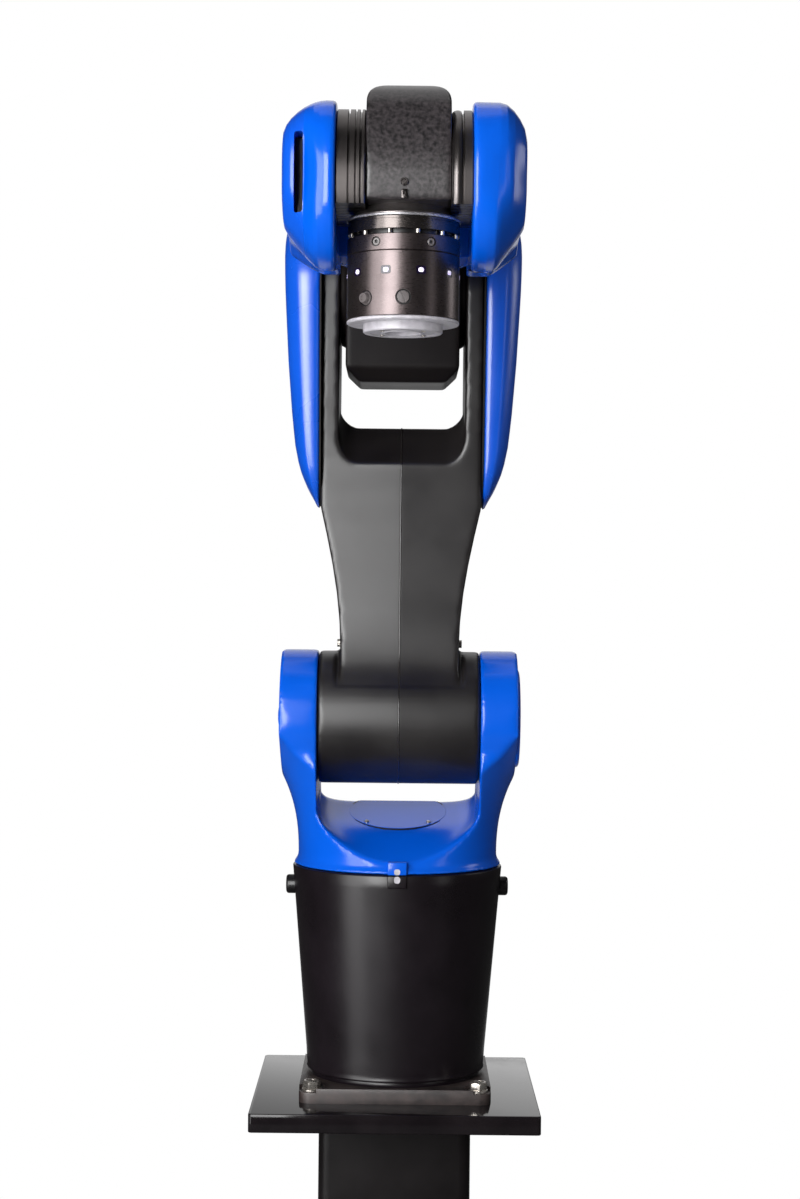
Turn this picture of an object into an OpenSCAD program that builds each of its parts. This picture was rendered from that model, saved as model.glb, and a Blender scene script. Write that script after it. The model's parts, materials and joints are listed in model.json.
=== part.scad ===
// Compact six-axis industrial robot arm on a square steel pedestal.
// Z is up and the arm faces -Y. The origin is on the floor, under the turning axis of the turret.

/* [Pedestal] */
// Width of the square foot plate
foot_w = 460; // [420:10:600]
// Thickness of the foot plate
foot_t = 20; // [12:1:40]
// Corner radius of the foot plate
foot_r = 14; // [4:1:30]
// Distance between neighbouring anchor holes
anchor_pitch = 390; // [300:5:390]
// Diameter of the anchor holes
anchor_d = 18; // [10:1:24]
// Width of the square column
column_w = 156; // [130:2:200]
// Wall of the column
column_wall = 8; // [4:1:12]
// Outside corner radius of the column
column_r = 12; // [4:1:16]
// Height of the column
column_h = 511; // [200:10:800]
// Width of the square top plate
plate_w = 292; // [240:4:360]
// Thickness of the top plate
plate_t = 19; // [12:1:30]
// Corner radius of the top plate
plate_r = 4; // [1:1:12]

/* [Base] */
// Width of the square flange under the base
flange_w = 196; // [190:2:220]
// Thickness of the flange
flange_t = 15; // [10:1:20]
// Corner radius of the flange
flange_r = 12; // [4:1:16]
// Distance between neighbouring fixing bolts
bolt_pitch = 170; // [160:2:174]
// Diameter of the fixing bolts
bolt_d = 10; // [6:1:12]
// Width of a bolt head across its flats
bolt_head_w = 16; // [12:1:18]
// Height of a bolt head
bolt_head_h = 8; // [5:1:12]
// Diameter of the washers
washer_d = 20; // [16:1:24]
// Thickness of the washers
washer_t = 2.5; // [1:0.5:4]
// Length of a bolt below its head
bolt_length = 26; // [18:1:30]
// Radius of the low pad under each bolt
bolt_pad_r = 14; // [12:1:18]
// How far a bolt pad lies below the top of the flange
bolt_pad_drop = 4; // [1:1:6]
// Radius of the neck between flange and body
neck_r = 87; // [70:1:90]
// Height of the neck above the flange
neck_h = 5; // [2:1:10]
// Radius of the body at its foot
base_foot_r = 92.3; // [88:0.5:100]
// Radius of the body at the seam with the turret
base_top_r = 110.2; // [102:0.5:125]
// Height of the base, from the plate to the seam
base_h = 234; // [180:5:300]
// Edge rounding of the body, at its foot and at the seam
base_edge = 5; // [1:1:10]
// Radius of the side plugs
plug_r = 10.4; // [6:0.2:14]
// How far the side plugs stand out
plug_out = 8; // [3:1:14]
// How far the middle of a side plug lies below the seam
plug_drop = 23; // [16:1:60]

/* [Connector panel] */
// Width of the rear panel
panel_w = 120; // [90:5:140]
// Height of the rear panel
panel_h = 96; // [80:2:140]
// How far the panel stands out behind the widest part of the base
panel_out = 6; // [2:1:20]
// Height of the middle of the panel above the top plate
panel_z = 96; // [80:2:120]
// Radius of the two large sockets
socket_r = 19; // [12:1:22]
// How far the sockets stand out
socket_out = 20; // [8:1:30]
// Radius of the small ports
port_r = 5; // [3:0.5:7]

/* [Turret] */
// Distance of the shoulder axis in front of the turning axis
shoulder_y = 30; // [10:2:50]
// Height of the shoulder axis above the seam
shoulder_h = 156; // [150:2:190]
// Inner half width between the two ears
ear_in = 83.6; // [80:0.2:90]
// Outer half width across the ears
ear_out = 122; // [118:1:130]
// Radius of the ears about the shoulder axis
ear_r = 70; // [64:1:76]
// How far the waist above the seam lies inside the widest part of the base
waist_inset = 5.7; // [3:0.1:9]
// Height of the waist above the seam
waist_h = 18; // [10:1:30]
// How sharply the waist opens out to the ears
waist_curve = 2.4; // [2:0.1:3]
// Height of the front lip of the saddle above the seam
lip_h = 11; // [6:1:20]
// Radius of the gap's floor between the ears, at the lip
lip_round_r = 94; // [90:1:120]
// Radius of the gap's floor between the ears, at the turning axis
saddle_round_r = 147; // [130:1:200]
// Tilt of the saddle behind the lip
lip_tilt = 28.6; // [20:1:35]
// Tilt of the saddle at the rear
rear_tilt = 40; // [30:1:50]
// Tilt of the saddle over the turning axis
saddle_tilt = 15; // [5:1:20]
// Height of the saddle over the seam, at the turning axis
saddle_h = 54.5; // [45:0.5:58]
// Radius of the round hatch on the saddle
hatch_r = 52; // [30:1:56]
// Thickness of the hatch
hatch_t = 2.5; // [1.5:0.5:5]
// Depth of the hatch's seat in the saddle
hatch_sink = 1; // [0.6:0.1:2]
// Radius of the cover on the right ear
ear_cover_r = 58; // [40:1:62]
// Thickness of the cover on the right ear
ear_cover_t = 3; // [2:1:6]
// Radius of the plug on the left ear
ear_plug_r = 9; // [5:1:14]
// How far the ear plug stands out
ear_plug_out = 4; // [2:1:8]

/* [Zero marks] */
// Width of the pads across the seam
mark_w = 20; // [12:1:26]
// Height of each pad, above and below the seam
mark_h = 13; // [8:1:20]
// How far the pads stand out
mark_out = 2; // [1:0.5:4]

/* [Lower arm] */
// Length of the lower arm between its axes
lower_arm_l = 445; // [420:5:500]
// Radius of the barrel on the shoulder axis
barrel_r = 69; // [62:1:72]
// Half width of the arm above the barrel
arm_waist_x = 61; // [54:1:64]
// Half width of the arm across the fork
fork_out = 82.8; // [78:0.2:84]
// Half width of the gap of the fork
fork_in = 64.6; // [62:0.2:68]
// Half depth of the arm at its middle
arm_depth = 48; // [40:1:52]
// Radius of the fork ends about the elbow axis
fork_r = 63; // [56:1:70]
// Depth of the front lip of the fork gap below the elbow axis
fork_lip_down = 183; // [175:1:195]
// Depth of the middle of the fork gap below the elbow axis
fork_saddle_down = 142; // [138:1:155]
// Corner radius at the bottom of the fork gap
fork_corner_r = 20; // [8:1:26]

/* [Arm covers] */
// Thickness of the seal under each cover
seal_t = 1.5; // [1:0.5:3]
// Outer half width across the covers at their top
cover_out = 122; // [118:1:126]
// Outer half width across the covers just above their rounded lower end
cover_low_out = 113; // [113:1:118]
// Radius of the covers about the elbow axis
cover_r = 80; // [66:1:84]
// Radius of the lower end of the covers
cover_end_r = 50; // [40:1:56]
// Depth of the lower end of the covers below the elbow axis
cover_down = 227; // [215:1:240]
// Width of the rounding of a cover's lower end
cover_round_x = 28; // [10:1:28]
// Height of the rounding of a cover's lower end
cover_round_z = 100; // [60:1:120]
// Radius of the small bolts on the arm
arm_bolt_r = 4; // [2:0.5:6]

/* [Elbow] */
// Half width of the elbow block
elbow_x = 58; // [52:1:62]
// Depth of the elbow block below the elbow axis
elbow_down = 100; // [80:1:110]
// Height of the elbow block above the elbow axis
elbow_up = 92; // [86:1:98]
// Reach of the elbow block behind the elbow axis
elbow_back = 62; // [50:1:75]
// Reach of the elbow block in front of the elbow axis
elbow_front = 66; // [58:1:72]
// Corner cut along the lower edges of the elbow block
elbow_cut = 14; // [5:1:24]
// Radius of the round hubs on the elbow axis
hub_r = 58; // [45:1:62]
// Height of the roll axis above the elbow axis
roll_h = 30; // [20:1:35]
// Radius of the round neck in front of the elbow block
elbow_neck_r = 55; // [48:1:56]
// Reach of the round neck in front of the elbow axis
elbow_neck_l = 100; // [85:1:110]
// Thickness of the rear cover of the elbow
rear_cover_t = 14; // [6:1:20]
// Thickness of the top cover of the elbow
top_cover_t = 4; // [2:1:8]

/* [Forearm] */
// Distance from the elbow axis to the wrist axis
forearm_l = 430; // [400:5:480]
// Radius of the rear end of the forearm
forearm_r = 54; // [48:1:56]
// Half width of the forearm at the root of its fork
fork_root_x = 80; // [70:1:84]
// Half height of the forearm at the root of its fork
fork_root_z = 48; // [36:1:48]
// Distance from the root of the wrist fork to the wrist axis
wrist_gap_l = 94; // [94:1:105]
// Length of the root of the wrist fork
fork_root_l = 46; // [30:1:60]
// Inner half width between the wrist ears
wrist_in = 57.7; // [57.7:0.1:62]
// Half width over the inner blocks of the wrist ears
wrist_mid = 84; // [76:1:90]
// Outer half width across the wrist covers
wrist_out = 103; // [96:1:108]
// Radius of the wrist ears about the wrist axis
wrist_ear_r = 71; // [66:1:72]
// Width of the slot in the left wrist cover
slot_w = 8; // [4:1:10]
// Height of the slot in the left wrist cover
slot_h = 66; // [50:1:80]
// Height of the middle of the slot above the wrist axis
slot_up = 3; // [-5:1:10]
// Width of the side band on the right wrist cover
band_w = 12; // [6:1:15]

/* [Wrist] */
// Left face of the wrist housing
housing_left = 32.5; // [30:0.5:38]
// Right face of the wrist housing
housing_right = 39.3; // [34:0.5:42]
// Height of the wrist housing above the wrist axis
housing_up = 86; // [74:1:86]
// Half depth of the wrist housing
housing_depth = 40; // [34:1:42]
// Radius of the wrist housing about the wrist axis
housing_r = 60; // [50:1:64]
// Corner radius of the wrist housing seen from the front
housing_corner_r = 20; // [8:1:26]
// Radius of the round discs beside the wrist housing
disc_r = 65; // [58:1:68]
// Radius of the round index on the front of the wrist housing
index_r = 3; // [2:0.5:6]
// How far the index stands out
index_out = 2; // [1:0.5:4]
// Distance from the wrist axis down to the index
index_drop = 6; // [0:1:14]
// Distance from the wrist axis down to the tool flange
flange_down = 29; // [26:1:36]
// Radius of the neck above the tool flange
wrist_neck_r = 32; // [26:1:36]
// Height of the neck above the tool flange
wrist_neck_h = 9; // [6:0.5:12]
// Thickness of the full round plate on the outside of each disc
disc_plate_t = 3.4; // [2:0.1:4]
// Distance from the wrist axis down to the cut under the discs
disc_cut_h = 24; // [18:1:24]

/* [Tool] */
// Radius of the rim of the adapter
rim_r = 48.9; // [40:0.1:52]
// Thickness of the rim
rim_t = 2; // [1:0.5:4]
// Radius of the body of the tool
tool_r = 48; // [40:0.5:50]
// Height of the adapter ring
adapter_h = 13; // [8:1:18]
// Height of the screw gap under the adapter ring
screw_gap_h = 2; // [1:0.5:5]
// Number of screws in the screw gap
screw_count = 12; // [6:1:16]
// Radius of the screws in the screw gap
gap_screw_r = 2; // [1:0.1:2.5]
// How far the middles of these screws lie inside the side of the tool
gap_screw_in = 3.5; // [2.5:0.1:4]
// Height of the sensor ring
sensor_h = 14; // [10:1:20]
// Depth of the groove between sensor ring and lamp body
groove_depth = 2.5; // [1:0.5:5]
// Height of the groove between sensor ring and lamp body
groove_h = 1.6; // [1:0.2:4]
// Height of the lamp body
lamp_h = 53; // [45:1:70]
// Number of windows around the lamp body
window_count = 10; // [4:1:12]
// Width of a lamp window
window_w = 9; // [6:0.5:12]
// Thickness of a lamp window
window_t = 1; // [1:0.2:3]
// Height of a lamp window
window_h = 6; // [4:0.5:9]
// Height of the windows above the lower edge of the lamp body
window_z = 38; // [26:1:42]
// Radius of the two round connectors
connector_r = 6.6; // [4:0.2:8]
// How far the connectors stand out
connector_out = 2; // [1:0.5:6]
// Height of the connectors above the lower edge of the lamp body
connector_z = 15; // [10:1:20]
// Thickness of the pale face of the lamp
face_t = 3; // [2:0.5:6]
// Radius of the round boss under the face
boss_r = 34; // [28:1:38]
// Height of the boss
boss_h = 7.5; // [5:0.5:14]
// Diameter of the hole through the boss
boss_bore_d = 30; // [12:1:34]
// Diameter of the circle of fixing holes
tool_circle_d = 50; // [45:1:54]
// Diameter of the fixing holes
tool_hole_d = 5; // [3:0.5:6]

/* [Hidden] */
$fn = 64;
// Play between two bodies that turn against each other
play = 0.3;
// Overshoot of a cut past the face that it opens
over = 1;
// Play round a fixing bolt
bolt_play = 0.5;

plate_top = foot_t + column_h + plate_t;
panel_y = base_top_r + panel_out;
waist_x = base_top_r - waist_inset;
shoulder_z = base_h + shoulder_h;
fork_lip_h = lower_arm_l - fork_lip_down;
fork_saddle_h = lower_arm_l - fork_saddle_down;
cover_bottom_h = lower_arm_l - cover_down;
seam_z = plate_top + base_h;
shoulder = [0, -shoulder_y, plate_top + shoulder_z];
elbow = shoulder + [0, 0, lower_arm_l];
roll_z = elbow.z + roll_h;
wrist = [0, elbow.y - forearm_l, roll_z];
root_front_y = wrist.y + wrist_gap_l;
root_back_y = root_front_y + fork_root_l;
neck_top = flange_t + neck_h;
housing_down = flange_down - wrist_neck_h;
pad_z = plate_top + flange_t - bolt_pad_drop;
corners = [for (x = [-1, 1], y = [-1, 1]) [x, y]];

// Places of the connectors round the lamp body
connector_angles = [-90, -131];

// Heights of the tool's pieces, downwards from the wrist axis
rim_z = -flange_down;
adapter_z = rim_z - adapter_h - rim_t;
sensor_top = adapter_z - screw_gap_h;
sensor_z = sensor_top - sensor_h;
lamp_top = sensor_z - groove_h;
lamp_z = lamp_top - lamp_h;
face_z = lamp_z - face_t;
boss_z = face_z - boss_h;

paint_blue = [0.02, 0.16, 0.72];
satin_black = [0.09, 0.09, 0.10];
gloss_black = [0.05, 0.05, 0.05];
bare_steel = [0.75, 0.74, 0.72];
dark_steel = [0.13, 0.14, 0.16];
ring_grey = [0.22, 0.22, 0.24];
pale_face = [0.88, 0.88, 0.87];
lit_window = [0.85, 0.82, 1.0];

// Rectangle with round corners, about the origin
module rounded_rect(w, d, r) {
    square([w - 2 * r, d], center = true);
    square([w, d - 2 * r], center = true);
    for (c = corners) translate([c.x * (w / 2 - r), c.y * (d / 2 - r)]) circle(r);
}

// Solid of an outline in YZ, from x0 to x1
module along_x(x0, x1) {
    translate([x0, 0, 0]) rotate([90, 0, 90]) linear_extrude(x1 - x0) children();
}

// Solid of an outline in XZ, from y0 to y1
module along_y(y0, y1) {
    translate([0, y1, 0]) rotate([90, 0, 0]) linear_extrude(y1 - y0) children();
}

// Points of an arc about c, from angle a0 to a1
function arc(c, r, a0, a1, steps) =
    [for (i = [0:steps]) c + r * [cos(a0 + (a1 - a0) * i / steps), sin(a0 + (a1 - a0) * i / steps)]];

// Two discs inside their outer tangents, the first at the origin and the second below it
module two_disc_outline(r0, r1, drop) {
    lean = asin((r0 - r1) / drop);
    polygon(concat(
        arc([0, 0], r0, -lean, 180 + lean, 30), arc([0, -drop], r1, 180 + lean, 360 - lean, 20)));
}

module pedestal_foot() {
    color(dark_steel) linear_extrude(foot_t) difference() {
        rounded_rect(foot_w, foot_w, foot_r);
        for (c = corners) translate(c * anchor_pitch / 2) circle(d = anchor_d);
    }
}

module pedestal_column() {
    inner_w = column_w - 2 * column_wall;
    color(dark_steel) translate([0, 0, foot_t]) linear_extrude(column_h) difference() {
        rounded_rect(column_w, column_w, column_r);
        rounded_rect(inner_w, inner_w, max(column_r - column_wall, column_r / 4));
    }
}

module pedestal_top_plate() {
    color(gloss_black) translate([0, 0, plate_top - plate_t]) linear_extrude(plate_t) difference() {
        rounded_rect(plate_w, plate_w, plate_r);
        for (c = corners) translate(c * bolt_pitch / 2) circle(d = bolt_d + 2 * play);
    }
}

// Radius of the base body at a height above the plate
function base_r(z) = base_foot_r + (base_top_r - base_foot_r) * (z - neck_top) / (base_h - neck_top);

module base_casting() {
    color(satin_black) translate([0, 0, plate_top]) difference() {
        union() {
            linear_extrude(flange_t) rounded_rect(flange_w, flange_w, flange_r);
            rotate_extrude() polygon([
                [0, 0], [neck_r, 0], [neck_r, neck_top], [base_foot_r - base_edge, neck_top],
                [base_r(neck_top + base_edge), neck_top + base_edge],
                [base_top_r, base_h], [0, base_h]]);
        }
        for (c = corners) translate(c * bolt_pitch / 2) {
            translate([0, 0, -over]) cylinder(h = flange_t + 2 * over, d = bolt_d + 2 * bolt_play);
            translate([0, 0, flange_t - bolt_pad_drop])
                cylinder(h = bolt_pad_drop + over, r = bolt_pad_r);
        }
    }
}

module base_bolts() {
    color(bare_steel) for (c = corners) translate([c.x * bolt_pitch / 2, c.y * bolt_pitch / 2, pad_z]) {
        cylinder(h = washer_t, d = washer_d);
        cylinder(h = washer_t + bolt_head_h, d = bolt_head_w / cos(30), $fn = 6);
        translate([0, 0, washer_t - bolt_length]) cylinder(h = bolt_length, d = bolt_d);
    }
}

module side_plugs() {
    plug_z = base_h - plug_drop;
    plug_root = base_r(plug_z - plug_r) - plug_out;
    color(satin_black) translate([0, 0, plate_top]) difference() {
        for (s = [-1, 1]) translate([s * plug_root, 0, plug_z]) rotate([0, s * 90, 0])
            cylinder(h = base_r(plug_z) + plug_out - plug_root, r = plug_r);
        base_cone();
    }
}

// The conical skin of the base as a full solid, for pieces that are seated on it
module base_cone() {
    rotate_extrude($fn = 180)
        polygon([[0, neck_top], [base_foot_r, neck_top], [base_top_r, base_h], [0, base_h]]);
}

module base_zero_mark() {
    color(satin_black) translate([0, 0, plate_top]) difference() {
        translate([-mark_w / 2, -base_top_r - mark_out, base_h - mark_h])
            cube([mark_w, base_top_r / 2, mark_h - play]);
        base_cone();
    }
}

module connector_panel() {
    color(satin_black) translate([0, 0, plate_top]) difference() {
        along_y(base_foot_r / 2, panel_y) translate([0, panel_z])
            rounded_rect(panel_w, panel_h, panel_h / 12);
        base_cone();
    }
}

module connector_sockets() {
    color(bare_steel) translate([0, panel_y, plate_top + panel_z]) rotate([-90, 0, 0]) {
        for (s = [-1, 1]) translate([s * panel_w / 4, -panel_h / 5, 0]) difference() {
            cylinder(h = socket_out, r = socket_r);
            translate([0, 0, socket_out / 3]) cylinder(h = socket_out, r = socket_r * 0.8);
        }
        for (i = [-1.5:1:1.5]) translate([i * panel_w / 5, panel_h / 3.4, 0])
            cylinder(h = socket_out / 2, r = port_r);
    }
}

// Side view of the turret, in YZ, wider than its waist at the seam
module turret_side() {
    drop = shoulder_z - base_h;
    translate([-shoulder_y, shoulder_z]) circle(ear_r);
    polygon([
        [-shoulder_y - ear_r, shoulder_z], [-base_top_r - over, base_h], [base_top_r + over, base_h],
        [base_top_r + over, base_h + waist_h], [waist_x, base_h + 2 * waist_h],
        [ear_r - shoulder_y + drop / 6, shoulder_z - drop / 2], [ear_r - shoulder_y, shoulder_z]]);
}

// Radius that the turret's waist opens out to, at a share t of the way up to the shoulder axis
function waist_r(t) = waist_x + (ear_out + ear_r / 2 - waist_x) * pow(t, waist_curve);

// Round body of the turret: it narrows above the seam and then opens out to the ears
module turret_round() {
    rise = shoulder_z - base_h - waist_h;
    rotate_extrude() polygon(concat(
        [[0, base_h + play], [base_top_r, base_h + play]],
        [for (t = [0:0.125:1]) [waist_r(t), base_h + waist_h + rise * t]],
        [[waist_r(1), shoulder_z + ear_r + over], [0, shoulder_z + ear_r + over]]));
}

// Gap between the ears, in XZ: straight walls over a floor with a radius, its lowest line at z = 0
module gap_outline(w, r, top) {
    intersection() {
        union() {
            translate([0, r]) circle(r);
            translate([-w, r]) square([2 * w, top]);
        }
        translate([-w, -over]) square([2 * w, top + r]);
    }
}

module turret_yoke() {
    reach = base_top_r * 2;
    color(paint_blue) translate([0, 0, plate_top]) difference() {
        intersection() {
            along_x(-ear_out, ear_out) turret_side();
            turret_round();
        }
        translate([0, -waist_x, base_h + lip_h]) rotate([lip_tilt, 0, 0])
            along_y(-reach, reach) gap_outline(ear_in, lip_round_r, reach);
        translate([0, 0, base_h + saddle_h]) rotate([saddle_tilt, 0, 0]) {
            along_y(-reach, reach) gap_outline(ear_in, saddle_round_r, reach);
            translate([0, 0, -hatch_sink]) cylinder(h = reach, r = hatch_r + play);
        }
        translate([0, waist_x, base_h + lip_h]) rotate([-rear_tilt, 0, 0])
            along_y(-reach, reach) gap_outline(ear_in, saddle_round_r, reach);
    }
}

module yoke_hatch() {
    color(paint_blue) translate([0, 0, seam_z + saddle_h]) rotate([saddle_tilt, 0, 0])
        translate([0, 0, -hatch_sink]) cylinder(h = hatch_t, r = hatch_r);
}

module right_ear_cover() {
    color(paint_blue) translate(shoulder + [ear_out, 0, 0]) rotate([0, 90, 0])
        cylinder(h = ear_cover_t, r = ear_cover_r);
}

module left_ear_plug() {
    color(paint_blue) translate(shoulder - [ear_out, 0, 0]) rotate([0, -90, 0])
        cylinder(h = ear_plug_out, r = ear_plug_r);
}

module turret_zero_mark() {
    color(paint_blue) translate([0, 0, seam_z]) difference() {
        translate([-mark_w / 2, -base_top_r - mark_out, play]) cube([mark_w, base_top_r / 2, mark_h]);
        rotate_extrude($fn = 180) polygon([
            [0, 0], [base_top_r, 0], [base_top_r, play], [waist_x, waist_h], [0, waist_h]]);
    }
}

// Front view of the lower arm's waist and fork, in XZ with the shoulder axis at the origin
module arm_front() {
    rise = cover_bottom_h - barrel_r;
    side = [
        [arm_waist_x, 0], [arm_waist_x, barrel_r],
        for (t = [0.2:0.2:1])
            [arm_waist_x + (fork_out - arm_waist_x) * (1 - cos(t * 90)), barrel_r + rise * t],
        [fork_out, lower_arm_l + fork_r]];
    polygon(concat(side, [for (i = [len(side) - 1:-1:0]) [-side[i].x, side[i].y]]));
}

// Side view of the lower arm, in YZ with the shoulder axis at the origin
module arm_side() {
    middle = lower_arm_l * 0.4;
    translate([0, lower_arm_l]) circle(fork_r);
    polygon([
        [-barrel_r * 0.9, 0], [-arm_depth, middle], [-arm_depth, fork_lip_h + fork_corner_r],
        [-fork_r, lower_arm_l], [fork_r, lower_arm_l], [arm_depth, fork_lip_h + fork_corner_r],
        [arm_depth, middle], [barrel_r * 0.9, 0]]);
}

// Outline of the fork's gap: straight walls over round corners, with its bottom at z = 0
module fork_gap_outline() {
    translate([0, lower_arm_l / 2]) rounded_rect(2 * fork_in, lower_arm_l, fork_corner_r);
}

module lower_arm_casting() {
    tilt = atan((fork_saddle_h - fork_lip_h) / arm_depth);
    color(satin_black) translate(shoulder) {
        difference() {
            union() {
                rotate([0, 90, 0]) cylinder(h = 2 * (ear_in - play), r = barrel_r, center = true);
                intersection() {
                    along_y(-barrel_r, barrel_r) arm_front();
                    along_x(-fork_out, fork_out) arm_side();
                }
            }
            for (s = [-1, 1]) translate([0, -s * arm_depth, fork_lip_h]) rotate([s * tilt, 0, 0])
                along_y(-lower_arm_l, lower_arm_l) fork_gap_outline();
            translate([0, 0, fork_saddle_h]) along_y(-lower_arm_l, lower_arm_l) fork_gap_outline();
        }
    }
}

// Side view of an arm cover, in YZ with the shoulder axis at the origin
module cover_side(shrink) {
    translate([0, lower_arm_l]) two_disc_outline(cover_r - shrink, cover_end_r - shrink,
        lower_arm_l - cover_bottom_h - cover_end_r);
}

// Front view of the right arm cover, in XZ: its leaning outer face and its rounded lower end
module cover_front() {
    inner = fork_out + seal_t;
    top = lower_arm_l + cover_r;
    polygon(concat(
        [[inner, cover_bottom_h]],
        [for (a = [-90:15:0]) [
            cover_low_out - cover_round_x + cover_round_x * cos(a),
            cover_bottom_h + cover_round_z + cover_round_z * sin(a)]],
        [[cover_out, top - cover_round_x], [cover_out - cover_round_x / 3, top], [inner, top]]));
}

module arm_cover(side) {
    color(paint_blue) translate(shoulder) mirror([side < 0 ? 1 : 0, 0, 0]) intersection() {
        along_x(0, cover_out) cover_side(0);
        along_y(-cover_r - over, cover_r + over) cover_front();
    }
}

module arm_seal(side) {
    color(satin_black) translate(shoulder) mirror([side < 0 ? 1 : 0, 0, 0])
        along_x(fork_out, fork_out + seal_t) cover_side(seal_t);
}

module left_arm_cover() { arm_cover(-1); }
module right_arm_cover() { arm_cover(1); }
module left_arm_seal() { arm_seal(-1); }
module right_arm_seal() { arm_seal(1); }

module arm_bolts() {
    color(bare_steel) translate(shoulder) difference() {
        for (s = [-1, 1]) translate([s * arm_waist_x, 0, barrel_r + arm_bolt_r * 2])
            rotate([0, s * 90, 0]) cylinder(h = arm_bolt_r, r = arm_bolt_r, $fn = 6);
        along_y(-barrel_r, barrel_r) arm_front();
    }
}

// Side view of the elbow block, in YZ with the elbow axis at the origin
module elbow_side() {
    cut = elbow_cut;
    polygon([
        [-elbow_front + cut, -elbow_down], [elbow_back - 2 * cut, -elbow_down],
        [elbow_back, -elbow_down + 3 * cut], [elbow_back, elbow_up - cut], [elbow_back - cut, elbow_up],
        [-elbow_front + cut, elbow_up], [-elbow_front, elbow_up - cut], [-elbow_front, -elbow_down + cut]]);
}

// Front view of the elbow block, in XZ: its lower corners are cut
module elbow_front_view() {
    cut = elbow_cut;
    polygon([
        [-elbow_x + cut, -elbow_down], [elbow_x - cut, -elbow_down], [elbow_x, -elbow_down + cut],
        [elbow_x, elbow_up], [-elbow_x, elbow_up], [-elbow_x, -elbow_down + cut]]);
}

module elbow_block() {
    color(satin_black) translate(elbow) {
        intersection() {
            along_x(-elbow_x, elbow_x) elbow_side();
            along_y(-elbow_front, elbow_back) elbow_front_view();
        }
        rotate([0, 90, 0]) cylinder(h = 2 * (fork_in - play), r = hub_r, center = true);
    }
}

module elbow_neck() {
    color(satin_black) translate([0, elbow.y - elbow_front, roll_z]) rotate([90, 0, 0])
        cylinder(h = elbow_neck_l - elbow_front, r = elbow_neck_r);
}

module elbow_rear_cover() {
    color(paint_blue) translate([0, elbow.y + elbow_back, roll_z]) rotate([-90, 0, 0])
        cylinder(h = rear_cover_t, r = elbow_neck_r);
}

module elbow_top_cover() {
    w = 2 * (elbow_x - elbow_cut);
    l = elbow_front + elbow_back - 4 * elbow_cut;
    color(paint_blue) translate([0, elbow.y + (elbow_back - elbow_front) / 2, elbow.z + elbow_up])
        linear_extrude(top_cover_t) rounded_rect(w, l, elbow_cut);
}

module forearm_tube() {
    color(paint_blue) translate([0, elbow.y - elbow_neck_l - play, roll_z]) rotate([90, 0, 0])
        cylinder(h = elbow.y - elbow_neck_l - play - root_back_y, r1 = forearm_r, r2 = fork_root_z - 1);
}

module wrist_fork_root() {
    color(paint_blue) translate([0, 0, roll_z]) along_y(root_front_y, root_back_y)
        rounded_rect(2 * fork_root_x, 2 * fork_root_z, fork_root_z / 3);
}

// Side view of a wrist ear, in YZ with the wrist axis at the origin
module wrist_ear_side() {
    circle(wrist_ear_r);
    polygon([
        [0, -wrist_ear_r], [wrist_gap_l + fork_root_l, -fork_root_z],
        [wrist_gap_l + fork_root_l, fork_root_z], [0, wrist_ear_r]]);
}

// Front view of the right wrist ear, in XZ: its lower corners are cut
module wrist_ear_front(x0, x1, cut) {
    polygon([
        [x0, -wrist_ear_r], [x1 - cut, -wrist_ear_r], [x1, -wrist_ear_r + cut * 1.4],
        [x1, wrist_ear_r - cut], [x1 - cut * 0.6, wrist_ear_r], [x0, wrist_ear_r]]);
}

module wrist_ear(side) {
    reach = wrist_gap_l + fork_root_l;
    color(paint_blue) translate(wrist) mirror([side < 0 ? 1 : 0, 0, 0]) difference() {
        along_x(wrist_in, wrist_mid) wrist_ear_side();
        along_y(wrist_gap_l, reach + over)
            translate([-fork_root_x, -wrist_ear_r]) square([2 * fork_root_x, 2 * wrist_ear_r]);
    }
}

module left_wrist_ear() { wrist_ear(-1); }
module right_wrist_ear() { wrist_ear(1); }

module left_wrist_cover() {
    color(paint_blue) translate(wrist) mirror([1, 0, 0]) difference() {
        intersection() {
            along_x(wrist_mid, wrist_out) wrist_ear_side();
            along_y(-wrist_ear_r, wrist_ear_r * 3) wrist_ear_front(wrist_mid, wrist_out, band_w);
        }
        translate([wrist_mid - over, -wrist_ear_r - over, slot_up - slot_h / 2])
            cube([slot_w + over, wrist_ear_r * 0.8, slot_h]);
    }
}

module right_wrist_cover() {
    color(paint_blue) translate(wrist) intersection() {
        along_x(wrist_mid, wrist_out - band_w) wrist_ear_side();
        along_y(-wrist_ear_r, wrist_ear_r * 3) wrist_ear_front(wrist_mid, wrist_out - band_w, 2);
    }
}

module right_wrist_band() {
    color(paint_blue) translate(wrist) intersection() {
        along_x(wrist_out - band_w, wrist_out) wrist_ear_side();
        along_y(-wrist_ear_r, wrist_ear_r * 3) wrist_ear_front(wrist_out - band_w, wrist_out, band_w - 1);
    }
}

// Front view of the wrist housing, in XZ
module housing_front() {
    r = housing_corner_r;
    w = housing_left + housing_right;
    translate([(housing_right - housing_left) / 2, 0]) {
        translate([-w / 2, -housing_down]) square([w, housing_up - r + housing_down]);
        translate([0, housing_up - 2 * r]) rounded_rect(w, 4 * r, r);
    }
}

// Side view of the wrist housing, in YZ
module housing_side() {
    r = housing_depth * 0.75;
    circle(housing_r);
    translate([0, housing_up / 2]) rounded_rect(2 * housing_depth, housing_up, r);
    translate([-housing_depth, -housing_down]) square([2 * housing_depth, housing_up / 2 + housing_down]);
}

module wrist_housing() {
    color(satin_black) translate(wrist) difference() {
        intersection() {
            along_x(-housing_left, housing_right) housing_side();
            along_y(-housing_r, housing_r) housing_front();
        }
        index_pin();
    }
}

// Round index on the front of the wrist housing, set into it as deep as it stands out
module index_pin() {
    translate([0, index_out - housing_r, -index_drop]) rotate([90, 0, 0])
        cylinder(h = 2 * index_out, r = index_r);
}

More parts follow.
